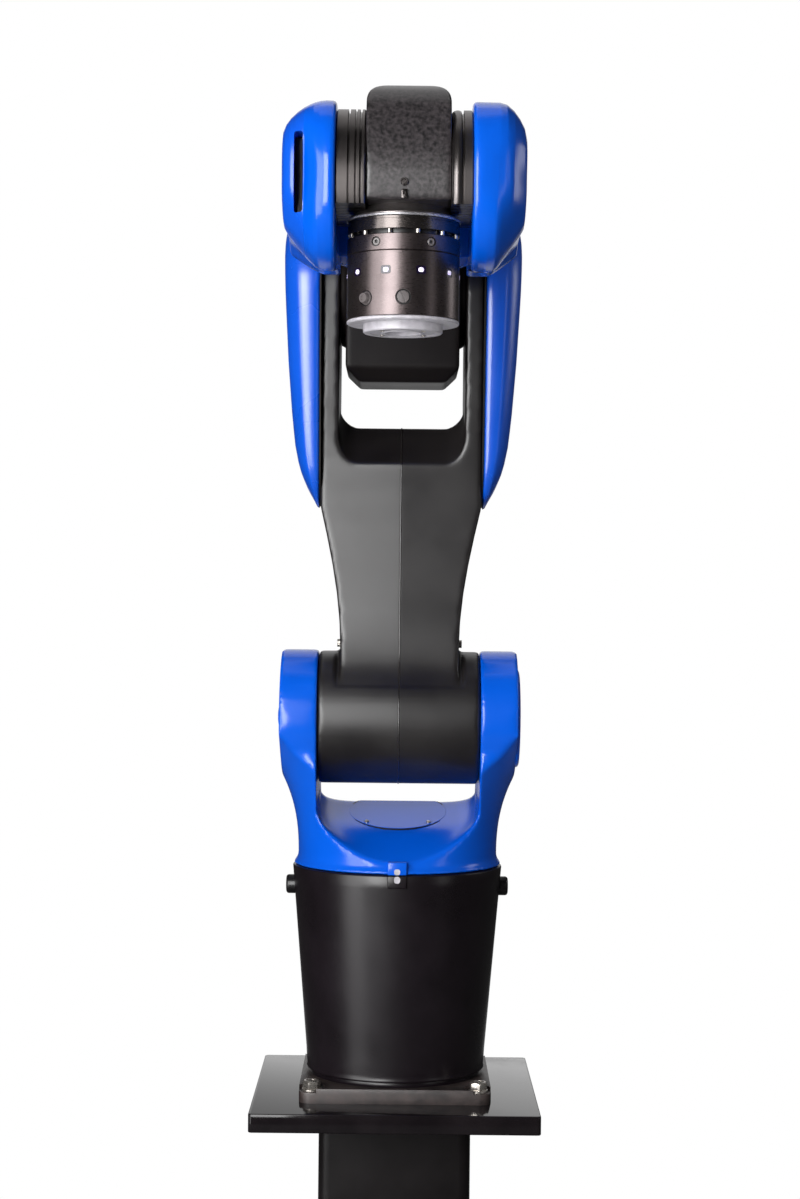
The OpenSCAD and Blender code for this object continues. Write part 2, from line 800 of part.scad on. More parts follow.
module wrist_index() { color(satin_black) translate(wrist) index_pin(); }

// Disc beside the wrist housing: cut flat above the tool, under a full round outer plate
module wrist_disc(x0, side) {
    x1 = wrist_in - play;
    color(gloss_black) translate(wrist) mirror([side < 0 ? 1 : 0, 0, 0]) difference() {
        translate([x0, 0, 0]) rotate([0, 90, 0]) cylinder(h = x1 - x0, r = disc_r);
        translate([0, -disc_r - over, -disc_r - over])
            cube([x1 - disc_plate_t, 2 * disc_r + 2 * over, disc_r + over - disc_cut_h]);
    }
}

module left_wrist_disc() { wrist_disc(housing_left, -1); }
module right_wrist_disc() { wrist_disc(housing_right, 1); }

module wrist_neck() {
    color(satin_black) translate(wrist - [0, 0, flange_down - play])
        cylinder(h = wrist_neck_h - play, r = wrist_neck_r);
}

// Round piece of the tool between two heights below the wrist axis
module tool_ring(z, h, r) {
    translate(wrist + [0, 0, z]) cylinder(h = h, r = r);
}

module adapter_rim() { color(bare_steel) tool_ring(rim_z - rim_t, rim_t, rim_r); }
module adapter_ring() { color(satin_black) tool_ring(adapter_z, adapter_h, tool_r); }

// Core between adapter and sensor ring, with the screws standing round it
module adapter_screws() {
    color(bare_steel) {
        tool_ring(sensor_top, screw_gap_h, tool_r - gap_screw_in - gap_screw_r - play);
        for (i = [0:screw_count - 1]) translate(wrist + [0, 0, sensor_top])
            rotate((i + 0.5) * 360 / screw_count) translate([tool_r - gap_screw_in, 0, 0])
                cylinder(h = screw_gap_h, r = gap_screw_r);
    }
}

module sensor_ring() { color(ring_grey) tool_ring(sensor_z, sensor_h, tool_r); }

module lamp_body() {
    color(satin_black) difference() {
        union() {
            tool_ring(lamp_z, lamp_h, tool_r);
            tool_ring(lamp_top, groove_h, tool_r - groove_depth);
        }
        window_blocks();
        connector_stubs();
    }
}

module window_blocks() {
    for (i = [0:window_count - 1])
        translate(wrist + [0, 0, lamp_z + window_z]) rotate(i * 360 / window_count)
            translate([tool_r, 0, 0]) cube([window_t, window_w, window_h], center = true);
}

module connector_stubs() {
    for (a = connector_angles) translate(wrist + [0, 0, lamp_z + connector_z]) rotate(a)
        translate([tool_r - connector_out, 0, 0]) rotate([0, 90, 0])
            cylinder(h = 2 * connector_out, r = connector_r);
}

module lamp_windows() { color(lit_window) window_blocks(); }
module lamp_connectors() { color(gloss_black) connector_stubs(); }

module lamp_face() { color(pale_face) tool_ring(face_z, face_t, tool_r); }

module tool_boss() {
    color(bare_steel) translate(wrist + [0, 0, boss_z]) difference() {
        cylinder(h = boss_h, r = boss_r);
        translate([0, 0, -over]) cylinder(h = boss_h + 2 * over, d = boss_bore_d);
        for (c = corners) rotate(45) translate(c * tool_circle_d / 2 * sin(45))
            translate([0, 0, -over]) cylinder(h = boss_h + 2 * over, d = tool_hole_d);
    }
}

pedestal_foot();
pedestal_column();
pedestal_top_plate();
base_casting();
base_bolts();
side_plugs();
base_zero_mark();
connector_panel();
connector_sockets();
turret_yoke();
yoke_hatch();
right_ear_cover();
left_ear_plug();
turret_zero_mark();
lower_arm_casting();
left_arm_seal();
right_arm_seal();
left_arm_cover();
right_arm_cover();
arm_bolts();
elbow_block();
elbow_neck();
elbow_rear_cover();
elbow_top_cover();
forearm_tube();
wrist_fork_root();
left_wrist_ear();
right_wrist_ear();
left_wrist_cover();
right_wrist_cover();
right_wrist_band();
wrist_housing();
wrist_index();
left_wrist_disc();
right_wrist_disc();
wrist_neck();
adapter_rim();
adapter_ring();
adapter_screws();
sensor_ring();
lamp_body();
lamp_windows();
lamp_connectors();
lamp_face();
tool_boss();
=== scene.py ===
import bpy
import json
import math
from mathutils import Matrix, Vector


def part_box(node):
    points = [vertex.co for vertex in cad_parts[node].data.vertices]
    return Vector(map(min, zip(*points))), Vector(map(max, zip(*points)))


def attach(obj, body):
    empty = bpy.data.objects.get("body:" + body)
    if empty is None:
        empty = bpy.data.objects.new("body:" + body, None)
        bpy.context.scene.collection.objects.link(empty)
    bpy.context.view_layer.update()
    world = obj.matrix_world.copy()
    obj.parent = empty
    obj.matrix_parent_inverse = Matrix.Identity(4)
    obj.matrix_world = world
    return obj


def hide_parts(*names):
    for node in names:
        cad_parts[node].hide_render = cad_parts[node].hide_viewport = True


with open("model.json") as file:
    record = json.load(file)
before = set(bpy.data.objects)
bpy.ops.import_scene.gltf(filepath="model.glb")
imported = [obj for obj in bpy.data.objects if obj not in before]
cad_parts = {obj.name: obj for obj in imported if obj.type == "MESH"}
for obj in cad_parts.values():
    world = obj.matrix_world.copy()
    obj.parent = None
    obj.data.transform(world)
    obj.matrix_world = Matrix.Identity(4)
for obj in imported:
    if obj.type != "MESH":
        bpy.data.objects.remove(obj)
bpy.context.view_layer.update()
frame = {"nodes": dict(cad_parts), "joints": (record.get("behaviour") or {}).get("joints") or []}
nodes = frame["nodes"]
print("frame loaded:", len(nodes), "nodes")

mm = 0.001


# Small helpers for modelling

def corners(node):
    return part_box(node)


def clearSelection():
    if bpy.context.mode != "OBJECT":
        bpy.ops.object.mode_set(mode="OBJECT")
    bpy.ops.object.select_all(action="DESELECT")


def pick(obj):
    clearSelection()
    obj.select_set(True)
    bpy.context.view_layer.objects.active = obj
    return obj


def named(name):
    obj = bpy.context.active_object
    obj.name = name
    obj.data.name = name
    return obj


def settle(obj):
    # place, turn and size go into the mesh, so that the object sits at the origin
    pick(obj)
    bpy.ops.object.transform_apply(location=True, rotation=True, scale=True)
    return obj


def modify(obj, kind, **settings):
    pick(obj)
    modifier = obj.modifiers.new(kind.title(), kind)
    for key, value in settings.items():
        setattr(modifier, key, value)
    bpy.ops.object.modifier_apply(modifier=modifier.name)
    return obj


def editMesh(obj, *steps, mode="VERT"):
    pick(obj)
    bpy.ops.object.mode_set(mode="EDIT")
    bpy.ops.mesh.select_mode(type=mode)
    for step in steps:
        step()
    bpy.ops.object.mode_set(mode="OBJECT")
    return obj


def mergeDoubles(obj, distance=0.00001):
    return editMesh(obj, lambda: bpy.ops.mesh.select_all(action="SELECT"),
                    lambda: bpy.ops.mesh.remove_doubles(threshold=distance),
                    lambda: bpy.ops.mesh.normals_make_consistent(inside=False))


def smooth(obj, angle=35):
    pick(obj)
    bpy.ops.object.shade_smooth_by_angle(angle=math.radians(angle))
    return obj


def roundEdges(obj, width, segments=3, angle=30):
    modify(obj, "BEVEL", width=width, segments=segments, limit_method="ANGLE",
           angle_limit=math.radians(angle), use_clamp_overlap=True)
    return obj


def copyOf(node, name, flat=True):
    # a copy of a CAD node's mesh with its loose triangles merged and its flat faces joined
    pick(nodes[node])
    bpy.ops.object.duplicate()
    obj = named(name)
    obj.parent = None
    for key in list(obj.keys()):
        if key.startswith("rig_"):
            del obj[key]
    obj.data.materials.clear()
    mergeDoubles(obj)
    if flat:
        editMesh(obj, lambda: bpy.ops.mesh.select_all(action="SELECT"),
                 lambda: bpy.ops.mesh.dissolve_limited(angle_limit=math.radians(0.5)))
    return obj


def block(name, low, high):
    clearSelection()
    low, high = Vector(low), Vector(high)
    bpy.ops.mesh.primitive_cube_add(size=1, location=(low + high) / 2, scale=high - low)
    return settle(named(name))


def rod(name, start, axis, length, radius, sides=48):
    # cylinder from a start point along an axis
    clearSelection()
    axis = Vector(axis).normalized()
    turn = axis.to_track_quat("Z", "Y").to_euler()
    bpy.ops.mesh.primitive_cylinder_add(vertices=sides, radius=radius, depth=length,
                                        location=Vector(start) + axis * length / 2, rotation=turn)
    return settle(named(name))


def chain(name, points, closed=False):
    # line of edges through points, drawn by extruding one vertex again and again
    clearSelection()
    bpy.ops.mesh.primitive_plane_add(size=1)
    obj = named(name)
    bpy.ops.object.mode_set(mode="EDIT")
    bpy.ops.mesh.select_mode(type="VERT")
    bpy.ops.mesh.select_all(action="SELECT")
    bpy.ops.mesh.merge(type="CENTER")
    bpy.ops.transform.translate(value=Vector(points[0]))
    for a, b in zip(points, points[1:]):
        bpy.ops.mesh.extrude_region_move(
            TRANSFORM_OT_translate={"value": Vector(b) - Vector(a)})
    if closed:
        bpy.ops.mesh.select_all(action="SELECT")
        bpy.ops.mesh.edge_face_add()
    bpy.ops.object.mode_set(mode="OBJECT")
    return obj


def turned(name, profile, centre, axis=(0, 0, 1), sideways=(1, 0, 0), steps=96):
    # profile is a list of (radius, height along the axis) in mm, spun into a closed body
    centre, axis, sideways = Vector(centre), Vector(axis), Vector(sideways)
    points = [centre + sideways * (r * mm) + axis * (h * mm) for r, h in profile]
    obj = chain(name, points)
    editMesh(obj, lambda: bpy.ops.mesh.select_all(action="SELECT"),
             lambda: bpy.ops.mesh.spin(steps=steps, angle=2 * math.pi, center=centre, axis=axis))
    return mergeDoubles(obj, 0.000004)


def prism(name, outline, push):
    # flat outline pushed out into a solid
    obj = chain(name, outline, closed=True)
    editMesh(obj, lambda: bpy.ops.mesh.select_all(action="SELECT"),
             lambda: bpy.ops.mesh.extrude_region_move(
                 TRANSFORM_OT_translate={"value": Vector(push)}))
    return mergeDoubles(obj, 0.000004)


def loft(name, rings):
    # closed shell over rings of points: each new ring is extruded and then drawn to its place
    count = len(rings[0])
    clearSelection()
    bpy.ops.mesh.primitive_circle_add(vertices=count, radius=1)
    obj = named(name)
    for i, p in enumerate(rings[0]):
        obj.data.vertices[i].co = p
    for ring in rings[1:]:
        editMesh(obj, lambda: bpy.ops.mesh.extrude_region_move())
        start = len(obj.data.vertices) - count
        for i, p in enumerate(ring):
            obj.data.vertices[start + i].co = p
    pick(obj)
    bpy.ops.object.mode_set(mode="EDIT")
    bpy.ops.mesh.select_all(action="DESELECT")
    bpy.ops.mesh.select_non_manifold()
    bpy.ops.mesh.edge_face_add()
    bpy.ops.object.mode_set(mode="OBJECT")
    return mergeDoubles(obj, 0.000004)


def cut(obj, tool, operation="DIFFERENCE"):
    modify(obj, "BOOLEAN", operation=operation, solver="EXACT", object=tool)
    bpy.data.objects.remove(tool)
    return obj


def join(name, parts):
    clearSelection()
    for part in parts:
        part.select_set(True)
    bpy.context.view_layer.objects.active = parts[0]
    if len(parts) > 1:
        bpy.ops.object.join()
    return named(name)


def copyTo(obj, shift=(0, 0, 0), turn=0, about=(0, 0, 0), axis="Z"):
    pick(obj)
    bpy.ops.object.duplicate()
    twin = bpy.context.active_object
    about = Vector(about)
    move = (Matrix.Translation(Vector(shift)) @ Matrix.Translation(about)
            @ Matrix.Rotation(turn, 4, axis) @ Matrix.Translation(-about))
    twin.data.transform(move)
    return twin


def castCopy(obj, voxel, rounds):
    # soft casting: fine even faces, then the sharp edges are rubbed round
    modify(obj, "REMESH", mode="VOXEL", voxel_size=voxel, adaptivity=0)
    modify(obj, "SMOOTH", factor=0.5, iterations=rounds)
    pick(obj)
    bpy.ops.object.shade_smooth()
    return obj


def finish(obj, body, slotName, material, *replaced):
    obj.data.materials.clear()
    obj.data.materials.append(material)
    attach(obj, body)
    if replaced:
        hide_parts(*replaced)
    return obj


# Places taken from the frame

joint = {j["name"]: Vector(j["pos_m"]) for j in frame["joints"]}
shoulder = joint["shoulder_bend"]
elbow = joint["elbow_bend"]
roll = joint["forearm_roll"]
wrist = joint["wrist_bend"]
seam = joint["turret_turn"].z
plateLow, plateTop = (corner.z for corner in corners("pedestal_top_plate"))


# Shader helpers

class Link:
    # an output socket that can be used in sums
    def __init__(self, tree, socket):
        self.tree, self.socket = tree, socket

    def math(self, operation, a, b=None):
        node = self.tree.nodes.new("ShaderNodeMath")
        node.operation = operation
        for i, value in enumerate((a, b)):
            if isinstance(value, Link):
                self.tree.links.new(value.socket, node.inputs[i])
            elif value is not None:
                node.inputs[i].default_value = value
        return Link(self.tree, node.outputs[0])

    def __add__(self, other):
        return self.math("ADD", self, other)

    def __radd__(self, other):
        return self.math("ADD", other, self)

    def __sub__(self, other):
        return self.math("SUBTRACT", self, other)

    def __rsub__(self, other):
        return self.math("SUBTRACT", other, self)

    def __mul__(self, other):
        return self.math("MULTIPLY", self, other)

    def __rmul__(self, other):
        return self.math("MULTIPLY", other, self)


class Shader:
    # one material with its principled shader and its object coordinates
    def __init__(self, name, **constants):
        self.material = bpy.data.materials.new(name)
        self.material.use_nodes = True
        self.tree = self.material.node_tree
        self.surface = self.tree.nodes["Principled BSDF"]
        for key, value in constants.items():
            self.surface.inputs[key.replace("_", " ")].default_value = value
        self.place = self.node("ShaderNodeTexCoord").outputs["Object"]

    def node(self, kind, settings=None, **sockets):
        # sockets go by their name, or by their number as i0, i1 and so on
        node = self.tree.nodes.new(kind)
        for key, value in (settings or {}).items():
            if key == "stops":
                ramp = node.color_ramp
                while len(ramp.elements) < len(value):
                    ramp.elements.new(0.5)
                for element, (position, colour) in zip(ramp.elements, value):
                    element.position = position
                    element.color = colour
            else:
                setattr(node, key, value)
        for key, value in sockets.items():
            numbered = key[0] == "i" and key[1:].isdigit()
            socket = node.inputs[int(key[1:]) if numbered else key.replace("_", " ")]
            if isinstance(value, Link):
                self.tree.links.new(value.socket, socket)
            elif isinstance(value, bpy.types.NodeSocket):
                self.tree.links.new(value, socket)
            else:
                socket.default_value = value
        return node

    def vector(self, operation, *values, output=0):
        sockets = {"i" + str(i): value for i, value in enumerate(values)}
        return self.node("ShaderNodeVectorMath", {"operation": operation}, **sockets).outputs[output]

    def rings(self, centre, axis, scale):
        # fine turned lines round an axis through a centre
        place = self.vector("SUBTRACT", self.place, tuple(centre))
        across = self.vector("MULTIPLY", place, tuple(1 - abs(v) for v in axis))
        radius = self.vector("LENGTH", across, output="Value")
        texture = self.node("ShaderNodeTexNoise", {"noise_dimensions": "1D"}, W=radius, Scale=scale,
                            Detail=3)
        return Link(self.tree, texture.outputs[0])

    def noise(self, scale, detail=3, roughness=0.5, stretch=(1, 1, 1)):
        place = self.node("ShaderNodeMapping", Vector=self.place, Scale=stretch).outputs[0]
        texture = self.node("ShaderNodeTexNoise", Vector=place, Scale=scale, Detail=detail,
                            Roughness=roughness)
        return Link(self.tree, texture.outputs[0])

    def spread(self, value, low, high, start=0, end=1):
        # maps start..end of a value to low..high, held at both ends
        node = self.node("ShaderNodeMapRange", Value=value, From_Min=start, From_Max=end,
                         To_Min=low, To_Max=high)
        return Link(self.tree, node.outputs[0])

    def blend(self, amount, a, b):
        # mix of two colours
        node = self.node("ShaderNodeMix", {"data_type": "RGBA"}, i0=amount, i6=a, i7=b)
        return Link(self.tree, node.outputs[2])

    def feed(self, key, value):
        self.tree.links.new(value.socket, self.surface.inputs[key])

    def bump(self, height, strength, distance):
        node = self.node("ShaderNodeBump", Height=height, Strength=strength, Distance=distance)
        self.tree.links.new(node.outputs[0], self.surface.inputs["Normal"])


def rgb(r, g, b):
    # colour given as 0 to 255 on screen, as the shader's own numbers
    def plain(v):
        v /= 255
        return v / 12.92 if v <= 0.04045 else ((v + 0.055) / 1.055) ** 2.4
    return (plain(r), plain(g), plain(b), 1)


# Materials

def satinBlack(name, dark, light, rough, grain, specular, patch=14, fine=900):
    # powder coat or moulded black: fine grain, faint cloudiness, duller and brighter patches
    s = Shader(name, Specular_IOR_Level=specular)
    cloud = s.noise(patch, 4, 0.55)
    grit = s.noise(fine, 2, 0.6)
    s.feed("Base Color", s.blend(s.spread(cloud, 0, 1, 0.35, 0.65), dark, light))
    s.feed("Roughness", s.spread(cloud + grit * 0.35, rough - 0.04, rough + 0.05, 0.45, 0.9))
    s.bump(grit, grain, 0.0003)
    return s.material


def bluePaint(name, deep, bright, rough, coat, specular=0.5):
    # blue enamel: slight orange peel, small changes of depth, a thin clear coat over it
    s = Shader(name, Specular_IOR_Level=specular, Coat_Roughness=0.15)
    cloud = s.noise(9, 3, 0.5)
    peel = s.noise(420, 2, 0.4)
    s.feed("Base Color", s.blend(s.spread(cloud, 0, 1, 0.3, 0.7), deep, bright))
    s.feed("Roughness", s.spread(cloud, rough - 0.03, rough + 0.05, 0.3, 0.7))
    s.feed("Coat Weight", s.spread(peel, coat - 0.03, coat + 0.03, 0.3, 0.7))
    s.bump(peel, 0.05, 0.0003)
    return s.material


def turnedMetal(name, base, light, rough, metallic, stretch=(1, 1, 1), grain=0.12, about=None):
    # turned or brushed metal: fine lines along one direction, or in rings about an axis
    s = Shader(name, Metallic=metallic)
    lines = s.rings(*about) if about else s.noise(300, 3, 0.6, stretch)
    cloud = s.noise(40, 3, 0.5)
    s.feed("Base Color", s.blend(s.spread(lines * 0.5 + cloud * 0.5, 0, 1, 0.35, 0.65), base, light))
    s.feed("Roughness", s.spread(lines, rough - 0.05, rough + 0.08, 0.3, 0.7))
    s.bump(lines, grain, 0.0002)
    return s.material


def litPlastic(name, edge, centre, glow, light):
    # translucent plastic with a little glow: the lamp's own light in the lit windows, painted light on the
    # pale plastic parts
    s = Shader(name, Roughness=0.3, Emission_Strength=light)
    cloud = s.spread(s.noise(160, 2, 0.4), 0, 1, 0.3, 0.7)
    s.feed("Base Color", s.blend(cloud, edge, centre))
    s.feed("Emission Color", s.blend(cloud, glow, centre))
    return s.material


finishes = {
    "casting": satinBlack("satin_black_casting", rgb(19, 16, 17), rgb(27, 24, 24), 0.36, 0.12, 0.75),
    "baseCasting": satinBlack("satin_black_base", rgb(15, 10, 14), rgb(22, 16, 21), 0.30, 0.05, 0.5),
    "bead": satinBlack("parting_line_edge", rgb(26, 23, 23), rgb(36, 33, 33), 0.16, 0.02, 1.0),
    "flange": satinBlack("worn_black_flange", rgb(34, 27, 27), rgb(62, 52, 50), 0.45, 0.3, 0.8, 60, 900),
    # darker, duller copy of the satin black casting paint: painted shade for the elbow, which sits in shadow
    # under the tool
    "elbowCasting": satinBlack("satin_black_elbow_painted_shade", rgb(16, 13, 14), rgb(22, 19, 19), 0.4, 0.1, 0.12),
    "housing": satinBlack("mottled_black_housing", rgb(24, 22, 23), rgb(60, 55, 57),
                          0.34, 0.22, 1.0, 300, 700),
    "plastic": satinBlack("black_plastic", rgb(12, 11, 12), rgb(20, 18, 20), 0.32, 0.05, 0.5),
    "cap": satinBlack("connector_cap", rgb(84, 78, 78), rgb(104, 98, 98), 0.3, 0.05, 1.0),
    "violetPlastic": satinBlack("window_frame_plastic", rgb(14, 9, 24), rgb(30, 20, 50), 0.22, 0.02, 0.5),
    "rubber": satinBlack("seal_rubber", rgb(12, 12, 12), rgb(20, 20, 20), 0.60, 0.15, 0.3),
    "column": satinBlack("dark_steel_paint", rgb(15, 12, 13), rgb(21, 18, 19), 0.36, 0.14, 0.25, 14, 500),
    "plate": satinBlack("gloss_black_plate", rgb(18, 15, 17), rgb(26, 22, 24), 0.08, 0.02, 0.35, 20, 200),
    "blue": bluePaint("blue_casting", rgb(0, 82, 200), rgb(0, 88, 210), 0.19, 0.06),
    "bluePlastic": bluePaint("blue_cover", rgb(0, 80, 200), rgb(0, 86, 210), 0.28, 0.05, 1.0),
    "steel": turnedMetal("bright_steel", rgb(150, 144, 138), rgb(226, 220, 212), 0.28, 0.9, (1, 1, 6)),
    "disc": turnedMetal("dark_disc", rgb(86, 82, 81), rgb(106, 101, 100), 0.26, 0.95,
                        grain=0.03, about=(wrist, (1, 0, 0), 420)),
    "neck": turnedMetal("dark_neck", rgb(132, 126, 125), rgb(156, 150, 148), 0.36, 0.95, (1, 1, 9), 0.03),
    "aluminium": turnedMetal("bright_aluminium", rgb(176, 174, 178), rgb(226, 226, 230),
                             0.25, 0.7, (1, 1, 8)),
    "anodised": turnedMetal("black_anodised", rgb(86, 78, 78), rgb(104, 95, 95),
                            0.30, 0.95, (1, 1, 9), 0.05),
    "darkAnodised": turnedMetal("dark_anodised", rgb(80, 75, 73), rgb(100, 94, 92),
                                0.22, 0.95, (1, 1, 9), 0.04),
    # the pale plastic's small glow is painted light, lifting the lamp face, boss and zero-mark dots out of
    # shade
    "paintedGlowPlastic": litPlastic("pale_plastic", rgb(156, 153, 159), rgb(184, 181, 187),
                              rgb(200, 198, 206), 0.08),
    "window": litPlastic("lit_window", rgb(214, 200, 250), rgb(252, 248, 255), rgb(216, 200, 255), 0.55),
}
print("materials made:", len(finishes))

nodeFinish = {
    "pedestal_foot": "column", "pedestal_column": "column", "pedestal_top_plate": "plate",
    "base_casting": "baseCasting", "base_bolts": "steel", "side_plugs": "plastic",
    "base_zero_mark": "plastic", "connector_panel": "plastic", "connector_sockets": "steel",
    "turret_yoke": "blue", "yoke_hatch": "blue", "right_ear_cover": "blue", "left_ear_plug": "blue",
    "turret_zero_mark": "blue", "lower_arm_casting": "casting", "left_arm_seal": "rubber",
    "right_arm_seal": "rubber", "left_arm_cover": "bluePlastic", "right_arm_cover": "bluePlastic",
    "arm_bolts": "steel", "elbow_block": "casting", "elbow_neck": "casting",
    "elbow_rear_cover": "bluePlastic", "elbow_top_cover": "bluePlastic", "forearm_tube": "blue",
    "wrist_fork_root": "blue", "left_wrist_ear": "blue", "right_wrist_ear": "blue",
    "left_wrist_cover": "bluePlastic", "right_wrist_cover": "bluePlastic",
    "right_wrist_band": "bluePlastic", "wrist_housing": "housing", "wrist_index": "steel",
    "left_wrist_disc": "disc", "right_wrist_disc": "disc", "wrist_neck": "disc",
    "adapter_rim": "aluminium", "adapter_ring": "darkAnodised", "adapter_screws": "steel",
    "sensor_ring": "anodised", "lamp_body": "anodised", "lamp_windows": "window",
    "lamp_connectors": "plastic", "lamp_face": "paintedGlowPlastic", "tool_boss": "paintedGlowPlastic",
}
for node, key in nodeFinish.items():
    for slot in nodes[node].material_slots:
        slot.material = finishes[key]
    if not nodes[node].material_slots:
        nodes[node].data.materials.append(finishes[key])
print("CAD nodes dressed")


# Pedestal

pedestal = {"footRound": 14, "anchorPitch": 390, "anchorRadius": 9, "columnRound": 12, "plateRound": 4,
            "edge": 1.2, "weld": 3.2, "weldRipple": 0.5, "rippleRate": 900}


def roundRect(halfX, halfY, radius, count=6):
    # outline of a rectangle with round corners, in mm
    outline = []
    for start, cx, cy in ((0, 1, 1), (90, -1, 1), (180, -1, -1), (270, 1, -1)):
        for k in range(count + 1):
            a = math.radians(start + 90 * k / count)
            outline.append((cx * (halfX - radius) + radius * math.cos(a),
                            cy * (halfY - radius) + radius * math.sin(a)))
    return outline


def plank(name, halfX, halfY, radius, low, high):
    # flat plate with round corners; low and high are metres above the floor
    return prism(name, [Vector((x * mm, y * mm, low)) for x, y in roundRect(halfX, halfY, radius)],
                 (0, 0, high - low))


def halfSize(node):
    low, high = corners(node)
    return (high.x - low.x) / 2 / mm, (high.y - low.y) / 2 / mm


def weldBead(name, halfX, halfY, radius, height):
    # fillet weld round the column: a rippled bead along its foot
    v = pedestal
    path = [Vector((x * mm, y * mm, height)) for x, y in roundRect(halfX, halfY, radius)]
    bead = chain(name, path)
    editMesh(bead, lambda: bpy.ops.mesh.select_all(action="SELECT"),
             lambda: bpy.ops.mesh.subdivide(number_cuts=7))
    bpy.ops.object.convert(target="CURVE")
    curve = bpy.context.active_object
    curve.data.splines[0].use_cyclic_u = True
    curve.data.bevel_depth = v["weld"] * mm
    curve.data.bevel_resolution = 3
    bpy.ops.object.convert(target="MESH")
    bead = settle(named(name))
    for vertex in bead.data.vertices:
        swing = math.sin(vertex.co.x * v["rippleRate"]) * math.cos(vertex.co.y * v["rippleRate"])
        vertex.co.z += swing * v["weldRipple"] * mm
    pick(bead)
    bpy.ops.object.shade_smooth()
    return bead


def makePedestal():
    v = pedestal
    footLow, footHigh = corners("pedestal_foot")
    foot = plank("foot_plate", *halfSize("pedestal_foot"), v["footRound"], footLow.z, footHigh.z)
    for x in (-1, 1):
        for y in (-1, 1):
            place = Vector((x * v["anchorPitch"] / 2 * mm, y * v["anchorPitch"] / 2 * mm, footLow.z - mm))
            cut(foot, rod("anchor_hole", place, (0, 0, 1), footHigh.z - footLow.z + 2 * mm,
                          v["anchorRadius"] * mm))
    roundEdges(foot, v["edge"] * mm)
    finish(smooth(foot), "base", "dark_steel", finishes["column"], "pedestal_foot")
    columnLow, columnHigh = corners("pedestal_column")
    halfX, halfY = halfSize("pedestal_column")
    column = plank("square_column", halfX, halfY, v["columnRound"], columnLow.z, columnHigh.z)
    finish(smooth(column), "base", "dark_steel", finishes["column"], "pedestal_column")
    lift = v["weldRipple"] * mm
    for word, height in (("lower", columnLow.z + lift), ("upper", columnHigh.z - lift)):
        bead = weldBead(word + "_weld", halfX, halfY, v["columnRound"], height)
        finish(bead, "base", "dark_steel", finishes["column"])
    plate = plank("mounting_plate", *halfSize("pedestal_top_plate"), v["plateRound"], plateLow, plateTop)
    roundEdges(plate, v["edge"] * mm)
    finish(smooth(plate), "base", "gloss_plate", finishes["plate"], "pedestal_top_plate")


makePedestal()
print("pedestal made")


# Base casting with its flange, bolts, plugs and zero marks

baseShape = {
    "foot": 92.3, "top": 110.2, "height": 233.7, "neck": 87, "neckTop": 20.2,
    "flange": 98, "flangeHeight": 15, "flangeRound": 12, "boltPitch": 170, "pad": 14, "padDrop": 4,
    "edge": 0.9,
    # how far out past the neck, past the cone's foot or inside its top edge, and the height there
    "neckCurve": [(4, 14.5), (2, 15.2), (0.6, 16.6), (0, 18.4), (0, 19.6), (1.4, 20.2)],
    "footCurve": [(0.3, 0.2), (1.1, 1.2), (1.0, 2.4), (0.5, 4)],
    "rimCurve": [(0.6, 0.6), (1.8, 0)],
}


def makeBase():
    v = baseShape
    flange = plank("base_flange", v["flange"], v["flange"], v["flangeRound"], plateTop,
                   plateTop + v["flangeHeight"] * mm)
    for x in (-1, 1):
        for y in (-1, 1):
            place = Vector((x * v["boltPitch"] / 2 * mm, y * v["boltPitch"] / 2 * mm,
                            plateTop + (v["flangeHeight"] - v["padDrop"]) * mm))
            cut(flange, rod("pad", place, (0, 0, 1), 20 * mm, v["pad"] * mm, 64))
    roundEdges(flange, v["edge"] * mm)
    slope = (v["top"] - v["foot"]) / (v["height"] - v["neckTop"])
    side = [(0, v["flangeHeight"] - 3)]
    side += [(v["neck"] + out, height) for out, height in v["neckCurve"]]
    side += [(v["foot"] + out, v["neckTop"] + height) for out, height in v["footCurve"]]
    side += [(v["foot"] + 0.4 + slope * 7, v["neckTop"] + 7)]
    side += [(v["foot"] + slope * height, v["neckTop"] + height) for height in range(20, 205, 20)]
    side += [(v["top"] - slope * 1.5, v["height"] - 1.5)]
    side += [(v["top"] - inset, v["height"] - drop) for inset, drop in v["rimCurve"]]
    side += [(0, v["height"])]
    cone = turned("base_shell", side, (0, 0, plateTop), steps=144)
    return smooth(cone, 50), smooth(flange, 35)


boltShape = {
    "washer": [(0, 0), (9.6, 0), (10, 0.4), (10, 2.0), (9.6, 2.4), (0, 2.4)],
    "headFoot": 2.4, "headTall": 8, "headRadius": 9.24, "headEdge": 0.25,
    "crown": [(0, 2), (9.6, 2), (9.6, 8.4), (7.9, 10.4), (0, 10.4)],        # what the hexagon keeps
    "dimple": [(0, 9.9), (5.6, 9.9), (6.0, 10.2), (6.0, 12), (0, 12)],
    "others": [(-1, 1, 17), (1, -1, 8), (-1, -1, 41)],      # the other corners, and the turn of each head
}


def hexBolt(name, place):
    # washer and hexagon head with a turned crown, standing on the flange pad
    v = boltShape
    washer = turned("washer", v["washer"], place, steps=48)
    head = rod("head", Vector(place) + Vector((0, 0, v["headFoot"] * mm)), (0, 0, 1),
               v["headTall"] * mm, v["headRadius"] * mm, 6)
    cut(head, turned("crown", v["crown"], place, steps=48), "INTERSECT")
    roundEdges(head, v["headEdge"] * mm, 2, 20)
    cut(head, turned("dimple", v["dimple"], place, steps=40))
    return smooth(join(name, [washer, head]), 30)


